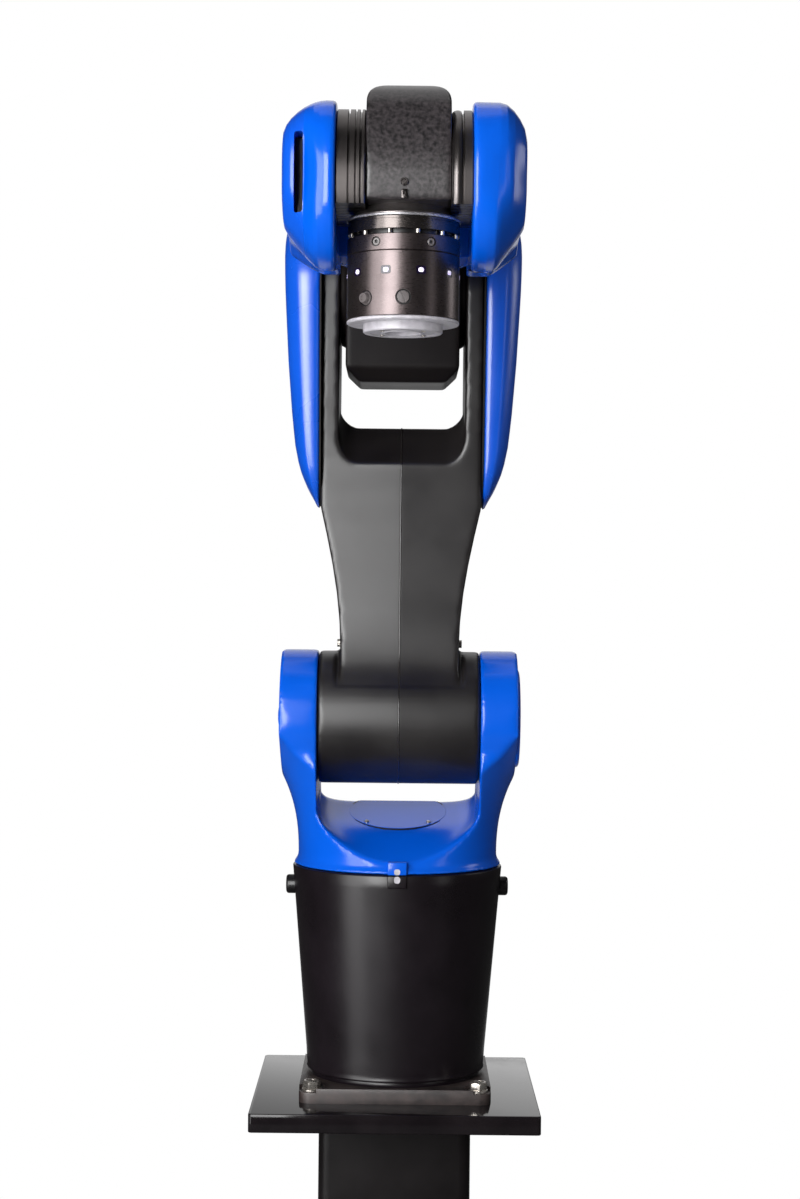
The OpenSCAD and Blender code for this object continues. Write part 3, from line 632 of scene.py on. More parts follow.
coneShell, flangePlate = makeBase()
finish(coneShell, "base", "black_casting", finishes["baseCasting"], "base_casting")
finish(flangePlate, "base", "black_casting", finishes["flange"], "base_casting")
padTop = plateTop + (baseShape["flangeHeight"] - baseShape["padDrop"]) * mm
halfPitch = baseShape["boltPitch"] / 2 * mm
firstBolt = hexBolt("flange_bolts", (halfPitch, halfPitch, padTop))
bolts = [firstBolt]
for x, y, turn in boltShape["others"]:
    twin = copyTo(firstBolt, about=(halfPitch, halfPitch, padTop), turn=math.radians(turn))
    twin.data.transform(Matrix.Translation(((x - 1) * halfPitch, (y - 1) * halfPitch, 0)))
    bolts.append(twin)
finish(join("flange_bolts", bolts), "base", "bright_steel", finishes["steel"], "base_bolts")

plugShape = {
    "drop": 23, "root": 98,
    "profile": [(0, 0), (10, 0), (10, 16.5), (9.4, 18), (8, 19), (6.2, 19.2), (5.6, 18.2), (0, 18.2)],
}
plugs = []
for side in (-1, 1):
    root = (side * plugShape["root"] * mm, 0, seam - plugShape["drop"] * mm)
    plugs.append(turned("plug", plugShape["profile"], root, (side, 0, 0), (0, 0, 1), 48))
finish(smooth(join("cable_plugs", plugs), 35), "base", "black_plastic", finishes["plastic"], "side_plugs")

markShape = {
    "half": 9.7, "back": 100.6, "out": 112, "low": -13, "high": 13.3, "gap": 0.4, "round": 1.1,
    "dotHalf": 3.1, "dotRound": 0.8, "dotSunk": 0.4, "dotDeep": 0.7,
    "baseDot": (-7.8, -0.9), "turretDot": (0.7, 6.6),       # lower and upper end, from the seam
}


def markPad(name, low, high):
    # half of the zero mark: a small pad with rounded corners on the cone's edge
    v = markShape
    pad = block(name, (-v["half"] * mm, -v["out"] * mm, seam + low * mm),
                (v["half"] * mm, -v["back"] * mm, seam + high * mm))
    modify(pad, "BEVEL", width=v["round"] * mm, segments=3, limit_method="NONE")
    return smooth(pad, 35)


def markDot(name, low, high):
    v = markShape
    tall = (high - low) / 2
    outline = [Vector((x * mm, -(v["out"] - v["dotSunk"]) * mm, seam + ((low + high) / 2 + z) * mm))
               for x, z in roundRect(v["dotHalf"], tall, min(v["dotHalf"], tall) * v["dotRound"], 5)]
    dot = prism(name, outline, (0, -v["dotDeep"] * mm, 0))
    return smooth(dot, 35)


finish(markPad("base_mark", markShape["low"], -markShape["gap"]),
       "base", "black_plastic", finishes["baseCasting"], "base_zero_mark")
finish(markPad("turret_mark", markShape["gap"], markShape["high"]),
       "turret", "blue_casting", finishes["blue"], "turret_zero_mark")
# the white dots of the zero mark glow a little: painted light
finish(markDot("base_mark_dot", *markShape["baseDot"]), "base", "pale_plastic", finishes["paintedGlowPlastic"])
finish(markDot("turret_mark_dot", *markShape["turretDot"]), "turret", "pale_plastic", finishes["paintedGlowPlastic"])
print("base made")


# Turret yoke

yokeShape = {
    "foot": 110.2, "waist": 104.5, "waistHeight": 10, "open": 172, "curve": 2.4,   # turned outside
    "earRadius": 70, "earIn": 83.6, "earOut": 122,
    "floor": [(-140, -8), (-104.5, 11), (-48.6, 41.5), (40, 65.2), (104.5, 11), (140, -20)],
    "corner": [(-140, 58), (-104, 57), (-60, 40), (0, 24), (60, 22), (140, 22)],
    "power": [(-140, 0.8), (-80, 0.8), (-50, 0.42), (140, 0.42)],      # squarer floor at the back
    "voxel": 2.0, "rounds": 9,
    "faceBand": {"below": 70, "reach": 18, "inner": 86, "outer": 121, "low": -85, "high": 8, "rounds": 30},
    "lipBand": {"front": -30, "inside": 84, "low": 6, "high": 110, "rounds": 18},
    "side": [(-115.2, -5), (115.2, -5), (111.2, 14), (101, 34), (84, 54), (68, 78), (54, 104), (44, 130)],
}


def held(value):
    return min(1, max(0, value))


def along(table, x):
    # value read between the points of a table
    for (x0, y0), (x1, y1) in zip(table, table[1:]):
        if x <= x1:
            return y0 + (y1 - y0) * max(0, (x - x0) / (x1 - x0))
    return table[-1][1]


def eased(table, x, reach):
    # the same with its corners rounded off
    return sum(along(table, x + reach * k / 4) for k in range(-4, 5)) / 9


def gapRing(y):
    # one cross-section of the gap between the ears: straight walls over a rounded floor
    floorZ, corner = eased(yokeShape["floor"], y, 14), eased(yokeShape["corner"], y, 14)
    power = eased(yokeShape["power"], y, 14)
    inside = yokeShape["earIn"]
    ring = [(-inside, 320)]
    for k in range(33):
        a = math.pi + math.pi * k / 32
        ring.append((inside * math.copysign(abs(math.cos(a)) ** power, math.cos(a)),
                     floorZ + corner * (1 - abs(math.sin(a)) ** power)))
    ring.append((inside, 320))
    return [Vector((x * mm, y * mm, seam + z * mm)) for x, z in ring]


def arcPoints(y, z, radius, a0, a1, count):
    return [(y + radius * math.cos(math.radians(a0 + (a1 - a0) * k / count)),
             z + radius * math.sin(math.radians(a0 + (a1 - a0) * k / count))) for k in range(count + 1)]


def faceShare(vertex):
    # how much a point on the front edge of the ears' faces is rubbed round
    v = yokeShape["faceBand"]
    aside = abs(vertex.co.x) / mm
    rise = (vertex.co.z - shoulder.z) / mm
    near = 1 - abs((vertex.co.y - shoulder.y) / mm + v["below"]) / v["reach"]
    if abs(vertex.normal.x) < 0.9 and v["inner"] < aside < v["outer"] and v["low"] < rise < v["high"]:
        return min(near * 2, (aside - v["inner"]) / 3)
    return 0


def lipShare(vertex):
    # the same for the saddle's front lip
    v = yokeShape["lipBand"]
    rise = (vertex.co.z - seam) / mm
    if vertex.co.y < v["front"] * mm and abs(vertex.co.x) < v["inside"] * mm and v["low"] < rise < v["high"]:
        return min((rise - v["low"]) / 5, (v["high"] - rise) / 50, (v["front"] - vertex.co.y / mm) / 15)
    return 0


def rub(obj, name, shareOf, rounds):
    # smooths the points that have a share, and leaves the rest
    group = obj.vertex_groups.new(name=name)
    for vertex in obj.data.vertices:
        share = min(1, shareOf(vertex))
        if share > 0:
            group.add([vertex.index], share, "REPLACE")
    modify(obj, "SMOOTH", factor=0.5, iterations=rounds, vertex_group=name)
    obj.vertex_groups.clear()


def makeYoke():
    v = yokeShape
    high = (shoulder.z - seam) / mm
    turn = [(0, 0.3), (v["foot"] - 1, 0.3), (v["foot"], 1.3)]
    turn += [(v["foot"] + (v["waist"] - v["foot"]) * math.sin(math.pi / 2 * k / 5),
              1.3 + (v["waistHeight"] - 1.3) * k / 5) for k in range(1, 6)]
    turn += [(v["waist"] + (v["open"] - v["waist"]) * (k / 16) ** v["curve"],
              v["waistHeight"] + (high - v["waistHeight"]) * k / 16) for k in range(1, 17)]
    turn += [(v["open"], high + 80), (0, high + 80)]
    yoke = turned("yoke_casting", turn, (0, 0, seam), steps=120)
    side = arcPoints(shoulder.y / mm, high, v["earRadius"], 0, 208, 32)
    side += [(shoulder.y / mm - v["earRadius"] - 10, 40)] + v["side"]
    keep = prism("side_view", [Vector((-v["earOut"] * mm, y * mm, seam + z * mm)) for y, z in side],
                 (2 * v["earOut"] * mm, 0, 0))
    cut(yoke, keep, "INTERSECT")
    cut(yoke, loft("gap", [gapRing(y) for y in range(-140, 141, 7)]))
    castCopy(yoke, v["voxel"] * mm, v["rounds"])
    rub(yoke, "faces", faceShare, v["faceBand"]["rounds"])
    rub(yoke, "lip", lipShare, v["lipBand"]["rounds"])
    return yoke


yoke = makeYoke()
finish(yoke, "turret", "blue_casting", finishes["blue"], "turret_yoke")

hatchShape = {
    "radius": 51.4, "rise": 0.7, "seam": 1.3, "seamRise": 0.35, "sunk": 1, "edge": 0.5,
    "tilt": 15, "height": 54.5, "rear": 30, "screwTurn": 44, "screwIn": 5,
    "screw": [(0, 0), (2.6, 0), (2.6, 1.6), (2.0, 2.2), (1.2, 2.3), (1.0, 1.4), (0, 1.4)],
}


def makeHatch():
    # round inspection cover in the saddle, its dark seam and two screws near the front
    v = hatchShape
    radius, rise, sunk = v["radius"], v["rise"], v["sunk"]
    tilt = math.radians(v["tilt"])
    up = Vector((0, -math.sin(tilt), math.cos(tilt)))
    place = Vector((0, 0, seam + v["height"] * mm))
    lid = turned("saddle_hatch", [(0, -sunk), (radius, -sunk), (radius, rise - v["edge"]),
                                  (radius - v["edge"], rise), (0, rise)], place, up, steps=120)
    behind = [place + Vector(spot) * mm for spot in ((-80, v["rear"], -40), (80, 140, 90))]
    cut(lid, block("behind", *behind))
    finish(smooth(lid, 35), "turret", "blue_casting", finishes["blue"], "yoke_hatch")
    inner, outer, top = radius - sunk, radius + v["seam"], v["seamRise"]
    section = [(inner, -sunk), (outer, -sunk), (outer, top), (inner, top), (inner, -sunk)]
    ring = turned("hatch_seam", section, place, up, steps=120)
    cut(ring, block("behind", *behind))
    finish(smooth(ring, 35), "turret", "seal_rubber", finishes["rubber"])
    front = up.cross(Vector((1, 0, 0))) * -1
    turn = math.radians(v["screwTurn"])
    screws = []
    for side in (-1, 1):
        spot = Vector((1, 0, 0)) * side * math.sin(turn) + front * math.cos(turn)
        spot = place + spot * (radius - v["screwIn"]) * mm
        screws.append(turned("hatch_screw", v["screw"], spot, up, steps=24))
    finish(smooth(join("hatch_screws", screws), 35), "turret", "bright_steel", finishes["steel"])


makeHatch()

lidShape = {
    "right": [(0, -3), (50.6, -3), (51, 0.9), (50.2, 2.2), (48.5, 2.9), (45, 3), (43, 2.4), (0, 2.4)],
    "left": [(0, -2), (9, -2), (9, 2.4), (8.2, 3.6), (5, 4), (4.4, 3.2), (0, 3.2)],
}
faceOut = Vector((yokeShape["earOut"] * mm, 0, 0))
earLid = turned("right_ear_lid", lidShape["right"], shoulder + faceOut, (1, 0, 0), (0, 0, 1), 96)
finish(smooth(earLid, 35), "turret", "blue_casting", finishes["bluePlastic"], "right_ear_cover")
earCap = turned("left_ear_cap", lidShape["left"], shoulder - faceOut, (-1, 0, 0), (0, 0, 1), 48)
finish(smooth(earCap, 35), "turret", "blue_casting", finishes["bluePlastic"], "left_ear_plug")
print("yoke made:", len(yoke.data.polygons), "faces")


# Lower arm and elbow castings

castings = {
    "voxel": 2.2, "armRounds": 7, "elbowRounds": 5, "bead": 0.8,
    "draft": 0.04, "roof": 0.10, "draftReach": 83,      # on the barrel, on the arm, and over this half width
    "armFrom": 66, "armEase": 46,                       # where the barrel's draft gives way to the arm's
    "cheekFrom": 268, "cheekEase": 60, "cheekShare": 0.75,      # the fork's cheeks are flat again
    "waistFrom": 34, "fillet": 75, "filletHalf": 67, "filletEase": 4,
}
# depth of the arm over the height above the shoulder, as it should be and as the CAD node has it
armDepth = [(34, 60), (38, 57.6), (45, 53.3), (52, 49.8), (60, 47), (70, 44.6), (85, 42.4), (112, 40.8),
            (150, 40), (200, 40), (235, 42), (262, 45), (290, 48), (330, 52.3), (420, 61)]
cadDepth = [(34, 60), (182, 48), (280, 48), (420, 61)]


def draftArm(obj):
    # each half falls away from the parting line in the middle, more on the arm than on its barrel
    v = castings
    for vertex in obj.data.vertices:
        p = vertex.co
        share = min(1, abs(p.x) / (v["draftReach"] * mm))
        rise = (p.z - shoulder.z) / mm
        blend = held((rise - v["armFrom"]) / v["armEase"])
        amount = v["draft"] * (1 - blend) + v["roof"] * blend
        amount *= 1 - held((rise - v["cheekFrom"]) / v["cheekEase"]) * v["cheekShare"]
        middle = held((v["filletHalf"] - abs(p.x) / mm) / v["filletEase"]) if rise < v["fillet"] else 1
        slim = 1
        if rise > v["waistFrom"]:
            slim += (eased(armDepth, rise, 6) / eased(cadDepth, rise, 6) - 1) * middle
        p.y = shoulder.y + (p.y - shoulder.y) * (1 - amount * share) * slim
    return obj


def partingBead(obj, name):
    # the casting's parting line: a thin bead round its middle section
    pick(obj)
    bpy.ops.object.duplicate()
    line = named(name)
    editMesh(line, lambda: bpy.ops.mesh.select_all(action="SELECT"),
             lambda: bpy.ops.mesh.bisect(plane_co=(0, 0, 0), plane_no=(1, 0, 0),
                                         clear_inner=True, clear_outer=True))
    pick(line)
    bpy.ops.object.convert(target="CURVE")
    curve = bpy.context.active_object
    curve.data.bevel_depth = castings["bead"] * mm
    curve.data.bevel_resolution = 2
    bpy.ops.object.convert(target="MESH")
    line = settle(named(name))
    bpy.ops.object.shade_smooth()
    return line


arm = copyOf("lower_arm_casting", "lower_arm", flat=False)
castCopy(arm, castings["voxel"] * mm, castings["armRounds"])
draftArm(arm)
finish(arm, "lower_arm", "black_casting", finishes["casting"], "lower_arm_casting")
finish(partingBead(arm, "parting_line"), "lower_arm", "black_casting", finishes["bead"])
elbowCasting = copyOf("elbow_block", "elbow_casting", flat=False)
castCopy(elbowCasting, castings["voxel"] * mm, castings["elbowRounds"])
# the elbow casting takes the darker copy of the black paint, painted shade
finish(elbowCasting, "elbow", "black_casting", finishes["elbowCasting"], "elbow_block")
print("arm castings made")


elbowCovers = {
    "rearRim": 2.5, "rearScrewIn": 8, "rearTurns": (30, 90, 150, 210, 270, 330),
    "topRim": 1.2, "topScrewIn": 7, "panelRim": 1.5, "screwSunk": 0.6,
    "screw": [(0, -1), (2.6, -1), (2.6, 0.5), (2.2, 0.9), (1.1, 1), (0.9, 0.2), (0, 0.2)],
}


def coverScrews(name, middle, axis, across, up, spots):
    # small round screws on a cover's outer face
    screw = turned(name, elbowCovers["screw"], middle, axis, across, 24)
    twins = [copyTo(screw, Vector(across) * a * mm + Vector(up) * b * mm) for a, b in spots]
    bpy.data.objects.remove(screw)
    screws = smooth(join(name, twins), 35)
    return finish(screws, "elbow", "bright_steel", finishes["steel"])


def makeElbowCovers():
    # rear and top covers: rounded rims, held by small screws
    v = elbowCovers
    sunk = v["screwSunk"] * mm
    low, high = corners("elbow_rear_cover")
    rear = roundEdges(copyOf("elbow_rear_cover", "elbow_rear_shell"), v["rearRim"] * mm, 4)
    finish(smooth(rear, 35), "elbow", "blue_plastic", finishes["bluePlastic"], "elbow_rear_cover")
    reach = (high.x - low.x) / 2 / mm - v["rearScrewIn"]
    spots = [(reach * math.cos(math.radians(a)), reach * math.sin(math.radians(a))) for a in v["rearTurns"]]
    middle = Vector(((low.x + high.x) / 2, high.y - sunk, (low.z + high.z) / 2))
    coverScrews("rear_cover_screws", middle, (0, 1, 0), (1, 0, 0), (0, 0, 1), spots)
    low, high = corners("elbow_top_cover")
    top = roundEdges(copyOf("elbow_top_cover", "elbow_top_shell"), v["topRim"] * mm, 3)
    finish(smooth(top, 35), "elbow", "blue_plastic", finishes["bluePlastic"], "elbow_top_cover")
    wide, deep = (high.x - low.x) / 2 / mm - v["topScrewIn"], (high.y - low.y) / 2 / mm - v["topScrewIn"]
    middle = Vector(((low.x + high.x) / 2, (low.y + high.y) / 2, high.z - sunk))
    spots = [(x * wide, y * deep) for x in (-1, 1) for y in (-1, 1)]
    coverScrews("top_cover_screws", middle, (0, 0, 1), (1, 0, 0), (0, 1, 0), spots)
    panel = roundEdges(copyOf("connector_panel", "rear_connector_panel"), v["panelRim"] * mm, 3)
    finish(smooth(panel, 35), "base", "black_plastic", finishes["plastic"], "connector_panel")


makeElbowCovers()
print("elbow covers made")


# Wrist ears and covers

# side view of an ear about the wrist axis: y and z; the tables below give how far the outline draws in
# at each place across it, in front, low down and high up
earSide = [(140, 48), (100, 57), (60, 64), (20, 69.5), (0, 71), (-24, 69), (-45, 61), (-59, 48), (-67, 33),
           (-71, 14), (-71, -8), (-68.5, -24), (-61, -40), (-47, -55), (-28, -66), (0, -71), (20, -69.5),
           (60, -63), (100, -56), (140, -48)]
leftShape = {
    "front": [(57.7, 3.5), (58.8, 1.6), (60.8, 0.6), (63, 0.5), (66, 1.1), (69, 2.4), (72, 4.2),
              (75, 6.6), (78, 9.8), (80.5, 13.4), (82.4, 17.2), (83.4, 19.2), (84.2, 19.6),
              (85.4, 18.6), (88, 17), (92, 16.8), (95, 18), (98, 21), (100.5, 25.2), (102.3, 30),
              (103, 36)],
    "low": [(57.7, 3), (58.8, 1.2), (60.8, 0.4), (66, 0.6), (72, 1.8), (76, 4), (80, 7.6), (84.2, 12),
            (93, 23), (98, 29.5), (100.5, 33), (102.3, 36.5), (103, 42)],
    "high": [(57.7, 2.5), (58.8, 1.2), (60.8, 0.5), (66, 0.4), (71, 0.9), (76, 2.2), (80, 3.8),
             (84.2, 6), (90, 10), (96, 15.5), (100, 21), (102.4, 27), (103, 33)],
}
leftSeam = 84.2        # casting inside it, slotted shell outside it
rightShape = {
    "front": [(57.7, 3), (58.8, 1.4), (61, 0.8), (66, 1.2), (72, 2.6), (78, 4.5), (84, 7), (88, 9.4),
              (91, 12.4), (94, 17), (97, 22.5), (100, 28.5), (102.3, 33.5), (103, 38)],
    "low": [(57.7, 3), (58.8, 1.2), (61, 0.5), (70, 0.4), (77, 1.4), (80, 4), (84, 9.5), (93, 22),
            (100, 32.5), (102.4, 37), (103, 42)],
    "high": [(57.7, 2.5), (58.8, 1.1), (61, 0.5), (80, 0.8), (86, 2.4), (92, 7.4), (97, 14),
             (101, 21.5), (103, 30)],
}
slotShape = {"x": 88.4, "w": 7.6, "low": -30, "high": 36.5, "front": -90, "floor": -25, "round": 2.4,
             "liner": (-32, -26), "linerIn": 0.2, "linerShort": 1, "linerRound": 1}


def curveThrough(points, each):
    # closed curve through the points
    count, curve = len(points), []
    for i in range(count):
        p0, p1, p2, p3 = (Vector(points[(i + k) % count]) for k in (-1, 0, 1, 2))
        for k in range(each):
            t = k / each
            curve.append(0.5 * ((2 * p1) + (p2 - p0) * t + (2 * p0 - 5 * p1 + 4 * p2 - p3) * t * t
                                + (3 * p1 - p0 - 3 * p2 + p3) * t * t * t))
    return curve


def inwards(curve):
    # unit normals that point into a closed curve
    result = []
    for i, p in enumerate(curve):
        d = curve[(i + 1) % len(curve)] - curve[i - 1]
        result.append(Vector((-d.y, d.x)).normalized())
    return result


def stepsOf(shape, start, end):
    # every place across the ear where one of its tables has a point, and one between
    places = sorted({x for table in shape.values() for x, inset in table})
    places = sorted(set(places + [(a + b) / 2 for a, b in zip(places, places[1:])]))
    return [x for x in places if start <= x <= end]


def softStep(value):
    return held(value) ** 2 * (3 - 2 * held(value))


def earShell(name, outline, shape, side, start=0, end=200):
    # crowned shell: the side outline steps across the ear and draws in by its three tables
    rings = []
    for x in stepsOf(shape, start, end):
        ring = []
        for p in outline:
            low, high = softStep((-p.y - 2) / 56), softStep((p.y - 4) / 56)
            inset = along(shape["front"], x)
            inset += (along(shape["low"], x) - inset) * low + (along(shape["high"], x) - inset) * high
            rear = held((p.x - 40) / 90)        # the crown is half as deep where the ear meets the forearm
            toAxis = -Vector((min(p.x, 0), p.y)).normalized()
            ring.append(wrist + Vector((side * x, *(p + toAxis * inset * (1 - 0.5 * rear)))) * mm)
        rings.append(ring)
    return loft(name, rings)


def makeEars():
    outline = curveThrough([Vector(p) for p in earSide], 5)[:-4]
    hump = earShell("left_ear_casting", outline, leftShape, -1, end=leftSeam)
    finish(smooth(hump, 60), "forearm", "blue_casting", finishes["blue"], "left_wrist_ear")
    shell = earShell("left_ear_shell", outline, leftShape, -1, start=leftSeam)
    v = slotShape
    near, far = -(v["x"] + v["w"] / 2), -(v["x"] - v["w"] / 2)
    opening = block("slot_tool", wrist + Vector((near, v["front"], v["low"])) * mm,
                    wrist + Vector((far, v["floor"], v["high"])) * mm)
    cut(shell, roundEdges(opening, v["round"] * mm, 4))
    finish(smooth(shell, 50), "forearm", "blue_plastic", finishes["bluePlastic"], "left_wrist_cover")
    low, high = v["low"] + v["linerShort"], v["high"] - v["linerShort"]
    liner = block("slot_liner", wrist + Vector((near + v["linerIn"], v["liner"][0], low)) * mm,
                  wrist + Vector((far - v["linerIn"], v["liner"][1], high)) * mm)
    roundEdges(liner, v["linerRound"] * mm)
    finish(smooth(liner), "forearm", "black_plastic", finishes["plastic"])
    right = earShell("right_ear_shell", outline, rightShape, 1)
    finish(smooth(right, 60), "forearm", "blue_casting", finishes["blue"],
           "right_wrist_ear", "right_wrist_cover", "right_wrist_band")


makeEars()
print("wrist ears made")


# Forearm

forearmShape = {
    "voxel": 2.2, "rounds": 5,
    # place along the arm, half width, half height, squareness
    "sections": [(-131, 53.5, 53.5, 2), (-150, 54, 54, 2), (-190, 54, 53, 2.1), (-230, 56, 52, 2.3),
                 (-265, 62, 51, 2.7), (-295, 73, 50, 3.3), (-315, 80.5, 48.5, 4), (-345, 82, 47, 4.5),
                 (-365.5, 82, 46, 5)],
}


def forearmRing(y, wide, high, square):
    ring = []
    for k in range(72):
        a = 2 * math.pi * k / 72
        c, s = math.cos(a), math.sin(a)
        ring.append(Vector((wide * mm * math.copysign(abs(c) ** (2 / square), c), y * mm,
                            roll.z + high * mm * math.copysign(abs(s) ** (2 / square), s))))
    return ring


def makeForearm():
    v = forearmShape
    tube = loft("forearm_casting", [forearmRing(*section) for section in v["sections"]])
    return castCopy(tube, v["voxel"] * mm, v["rounds"])


finish(makeForearm(), "forearm", "blue_casting", finishes["blue"], "forearm_tube", "wrist_fork_root")
print("forearm made")


# Arm covers

coverShape = {"radius": 80, "end": 50, "drop": 177, "inner": 84.3}
# outer half width over the height above the elbow axis
coverOut = [(-240, 84.5), (-232, 87), (-212, 96), (-192, 103.5), (-172, 109), (-135, 113), (-80, 117),
            (-16, 120), (30, 121.5), (80, 121.8)]
# how far the edge draws in over the share of the cover's thickness
coverEdge = [(0, 3.5), (0.04, 1.6), (0.1, 0.6), (0.2, 0), (0.5, 0.7), (0.58, 1.6), (0.66, 3.6), (0.76, 7),
             (0.86, 11.5), (0.94, 16.5), (0.98, 20.5), (1, 25)]


def between(a, b, count):
    # evenly spaced points on the way from a to b, without its ends
    return [tuple(u + (w - u) * k / count for u, w in zip(a, b)) for k in range(1, count)]


def makeArmCover(side):
    v = coverShape
    lean = math.degrees(math.asin((v["radius"] - v["end"]) / v["drop"]))
    points = arcPoints(0, 0, v["radius"], -lean, 180 + lean, 56)
    bottom = arcPoints(0, -v["drop"], v["end"], 180 + lean, 360 - lean, 36)
    points += between(points[-1], bottom[0], 10) + bottom + between(bottom[-1], points[0], 10)
    outline = [Vector(p) for p in points]
    normals = inwards(outline)
    rings = []
    for share, inset in coverEdge:
        ring = []
        for p, n in zip(outline, normals):
            q = p + n * inset
            x = v["inner"] + (along(coverOut, q.y) - v["inner"]) * share
            ring.append(elbow + Vector((side * x, q.x, q.y)) * mm)
        rings.append(ring)
    return loft("left_arm_shell" if side < 0 else "right_arm_shell", rings)


for side, word in ((-1, "left"), (1, "right")):
    cover = makeArmCover(side)
    finish(smooth(cover, 40), "lower_arm", "blue_plastic", finishes["bluePlastic"], word + "_arm_cover")
print("arm covers made")


# Wrist housing, discs and neck

housingShape = {
    "left": 32.4, "right": 39.2, "up": 86, "low": -20, "front": 60, "cornerX": 20, "cornerZ": 18,
    "voxel": 1.4, "rounds": 14,
    "nose": (-19.5, -2),        # the round nose's angles about the bending axis
    "rise": [(60, 6), (58, 20), (53.5, 36), (47, 52), (38, 67), (25, 79), (10, 85), (0, 86), (-10, 85)],
}


def makeHousing():
    # one smooth casting: round nose about the bending axis, rising to a rounded top
    v = housingShape
    nose = arcPoints(0, 0, v["front"], *v["nose"], 6)
    rise = curveThrough(nose[-3:] + v["rise"], 6)[6:]
    top = min(range(len(rise)), key=lambda i: abs(rise[i].x) + abs(rise[i].y - v["up"]))
    side = nose[:-2] + [tuple(q) for q in rise[:top]] + [(0, v["up"])]
    side += [(-y, z) for y, z in reversed(side[:-1])]
    body = prism("wrist_casting", [wrist + Vector((-v["left"], y, z)) * mm for y, z in side],
                 ((v["left"] + v["right"]) * mm, 0, 0))
    front = [(-v["left"], v["low"] - 1), (v["right"], v["low"] - 1)]
    quarter = [math.radians(a) for a in range(0, 91, 10)]
    for sign, edge in ((1, v["right"]), (-1, -v["left"])):
        arc = [(edge - sign * v["cornerX"] * (1 - math.cos(a)), v["up"] - v["cornerZ"] * (1 - math.sin(a)))
               for a in quarter]
        front += arc if sign > 0 else arc[::-1]
    keep = prism("front_view", [wrist + Vector((x, -90, z)) * mm for x, z in front], (0, 180 * mm, 0))
    cut(body, keep, "INTERSECT")
    return castCopy(body, v["voxel"] * mm, v["rounds"])


housing = makeHousing()
finish(housing, "wrist", "black_casting", finishes["housing"], "wrist_housing")

discShape = {
    "left": [(0, 0), (63.6, 0), (65, 1.2), (65, 3.2), (62.6, 3.6), (62.6, 4.8), (65, 5.2), (65, 7.4),
             (63.2, 7.8), (63.2, 8.8), (65, 9.2), (65, 13.2), (61.6, 13.6), (61.6, 14.6), (65, 15.2),
             (65, 23.8), (63.6, 24.9), (0, 24.9)],
    "right": [(0, 0), (61, 0), (63, 0.8), (64.4, 2.4), (65, 4.6), (65, 6.4), (64.2, 8.4), (61.8, 9.2),
              (61.8, 10.2), (65, 10.8), (65, 17), (63.8, 18.1), (0, 18.1)],
    "cut": -24, "leftRoot": 32.5, "rightRoot": 39.3,
}


def makeDisc(name, root, side):
    place = wrist + Vector((side * root * mm, 0, 0))
    disc = turned(name, discShape["left" if side < 0 else "right"], place, (side, 0, 0), (0, 0, 1), 144)
    low = block("below", wrist + Vector((-90, -80, -80)) * mm,
                wrist + Vector((90, 80, discShape["cut"])) * mm)
    return smooth(cut(disc, low), 40)


finish(makeDisc("left_turned_disc", discShape["leftRoot"], -1),
       "wrist", "dark_disc", finishes["disc"], "left_wrist_disc")
finish(makeDisc("right_turned_disc", discShape["rightRoot"], 1),
       "wrist", "dark_disc", finishes["disc"], "right_wrist_disc")

neckProfile = [(0, -17), (38, -17), (39.2, -18.6), (40.2, -21), (41.3, -23.6), (42.8, -25.6), (45, -27),
               (47.2, -27.7), (47.6, -28.1), (47.6, -28.7), (0, -28.7)]
neck = turned("flared_neck", neckProfile, wrist, steps=120)
finish(smooth(neck, 40), "wrist", "dark_disc", finishes["neck"], "wrist_neck")

indexShape = {
    "drop": 6, "front": 60, "turn": 42,
    "profile": [(0, -2), (3.4, -2), (3.4, 1.2), (3.0, 1.6), (2.6, 1.6), (2.5, 0.4), (2.2, 0.4), (2.1, 1.3),
                (1.7, 1.6), (0, 1.6)],
    "slot": ((-0.45, -3, -2.4), (0.45, -0.9, 2.4)),
    "tab": ((-2.2, -1.6, -13.6), (2.2, 2, -6.2)), "tabEdge": 0.4,
    "notch": (0, -3, -9.4), "notchRadius": 1.1,
}


def makeIndexScrew():
    # slotted screw in a sunk ring at the index mark, with a small notched tab below it
    v = indexShape
    place = wrist + Vector((0, -v["front"], -v["drop"])) * mm
    screw = turned("index_screw", v["profile"], place, (0, -1, 0), (1, 0, 0), 40)
    slot = block("slot", *[place + Vector(spot) * mm for spot in v["slot"]])
    slot.data.transform(Matrix.Translation(place) @ Matrix.Rotation(math.radians(v["turn"]), 4, "Y")
                        @ Matrix.Translation(-place))
    cut(screw, slot)
    tab = block("tab", *[place + Vector(spot) * mm for spot in v["tab"]])
    roundEdges(tab, v["tabEdge"] * mm, 2)
    cut(tab, rod("notch", place + Vector(v["notch"]) * mm, (0, 1, 0), 2 * mm, v["notchRadius"] * mm, 24))
    return smooth(join("index_screw", [screw, tab]), 35)


finish(makeIndexScrew(), "wrist", "dark_disc", finishes["disc"], "wrist_index")
print("wrist made")


# Tool: adapter, sensor ring, lamp and boss

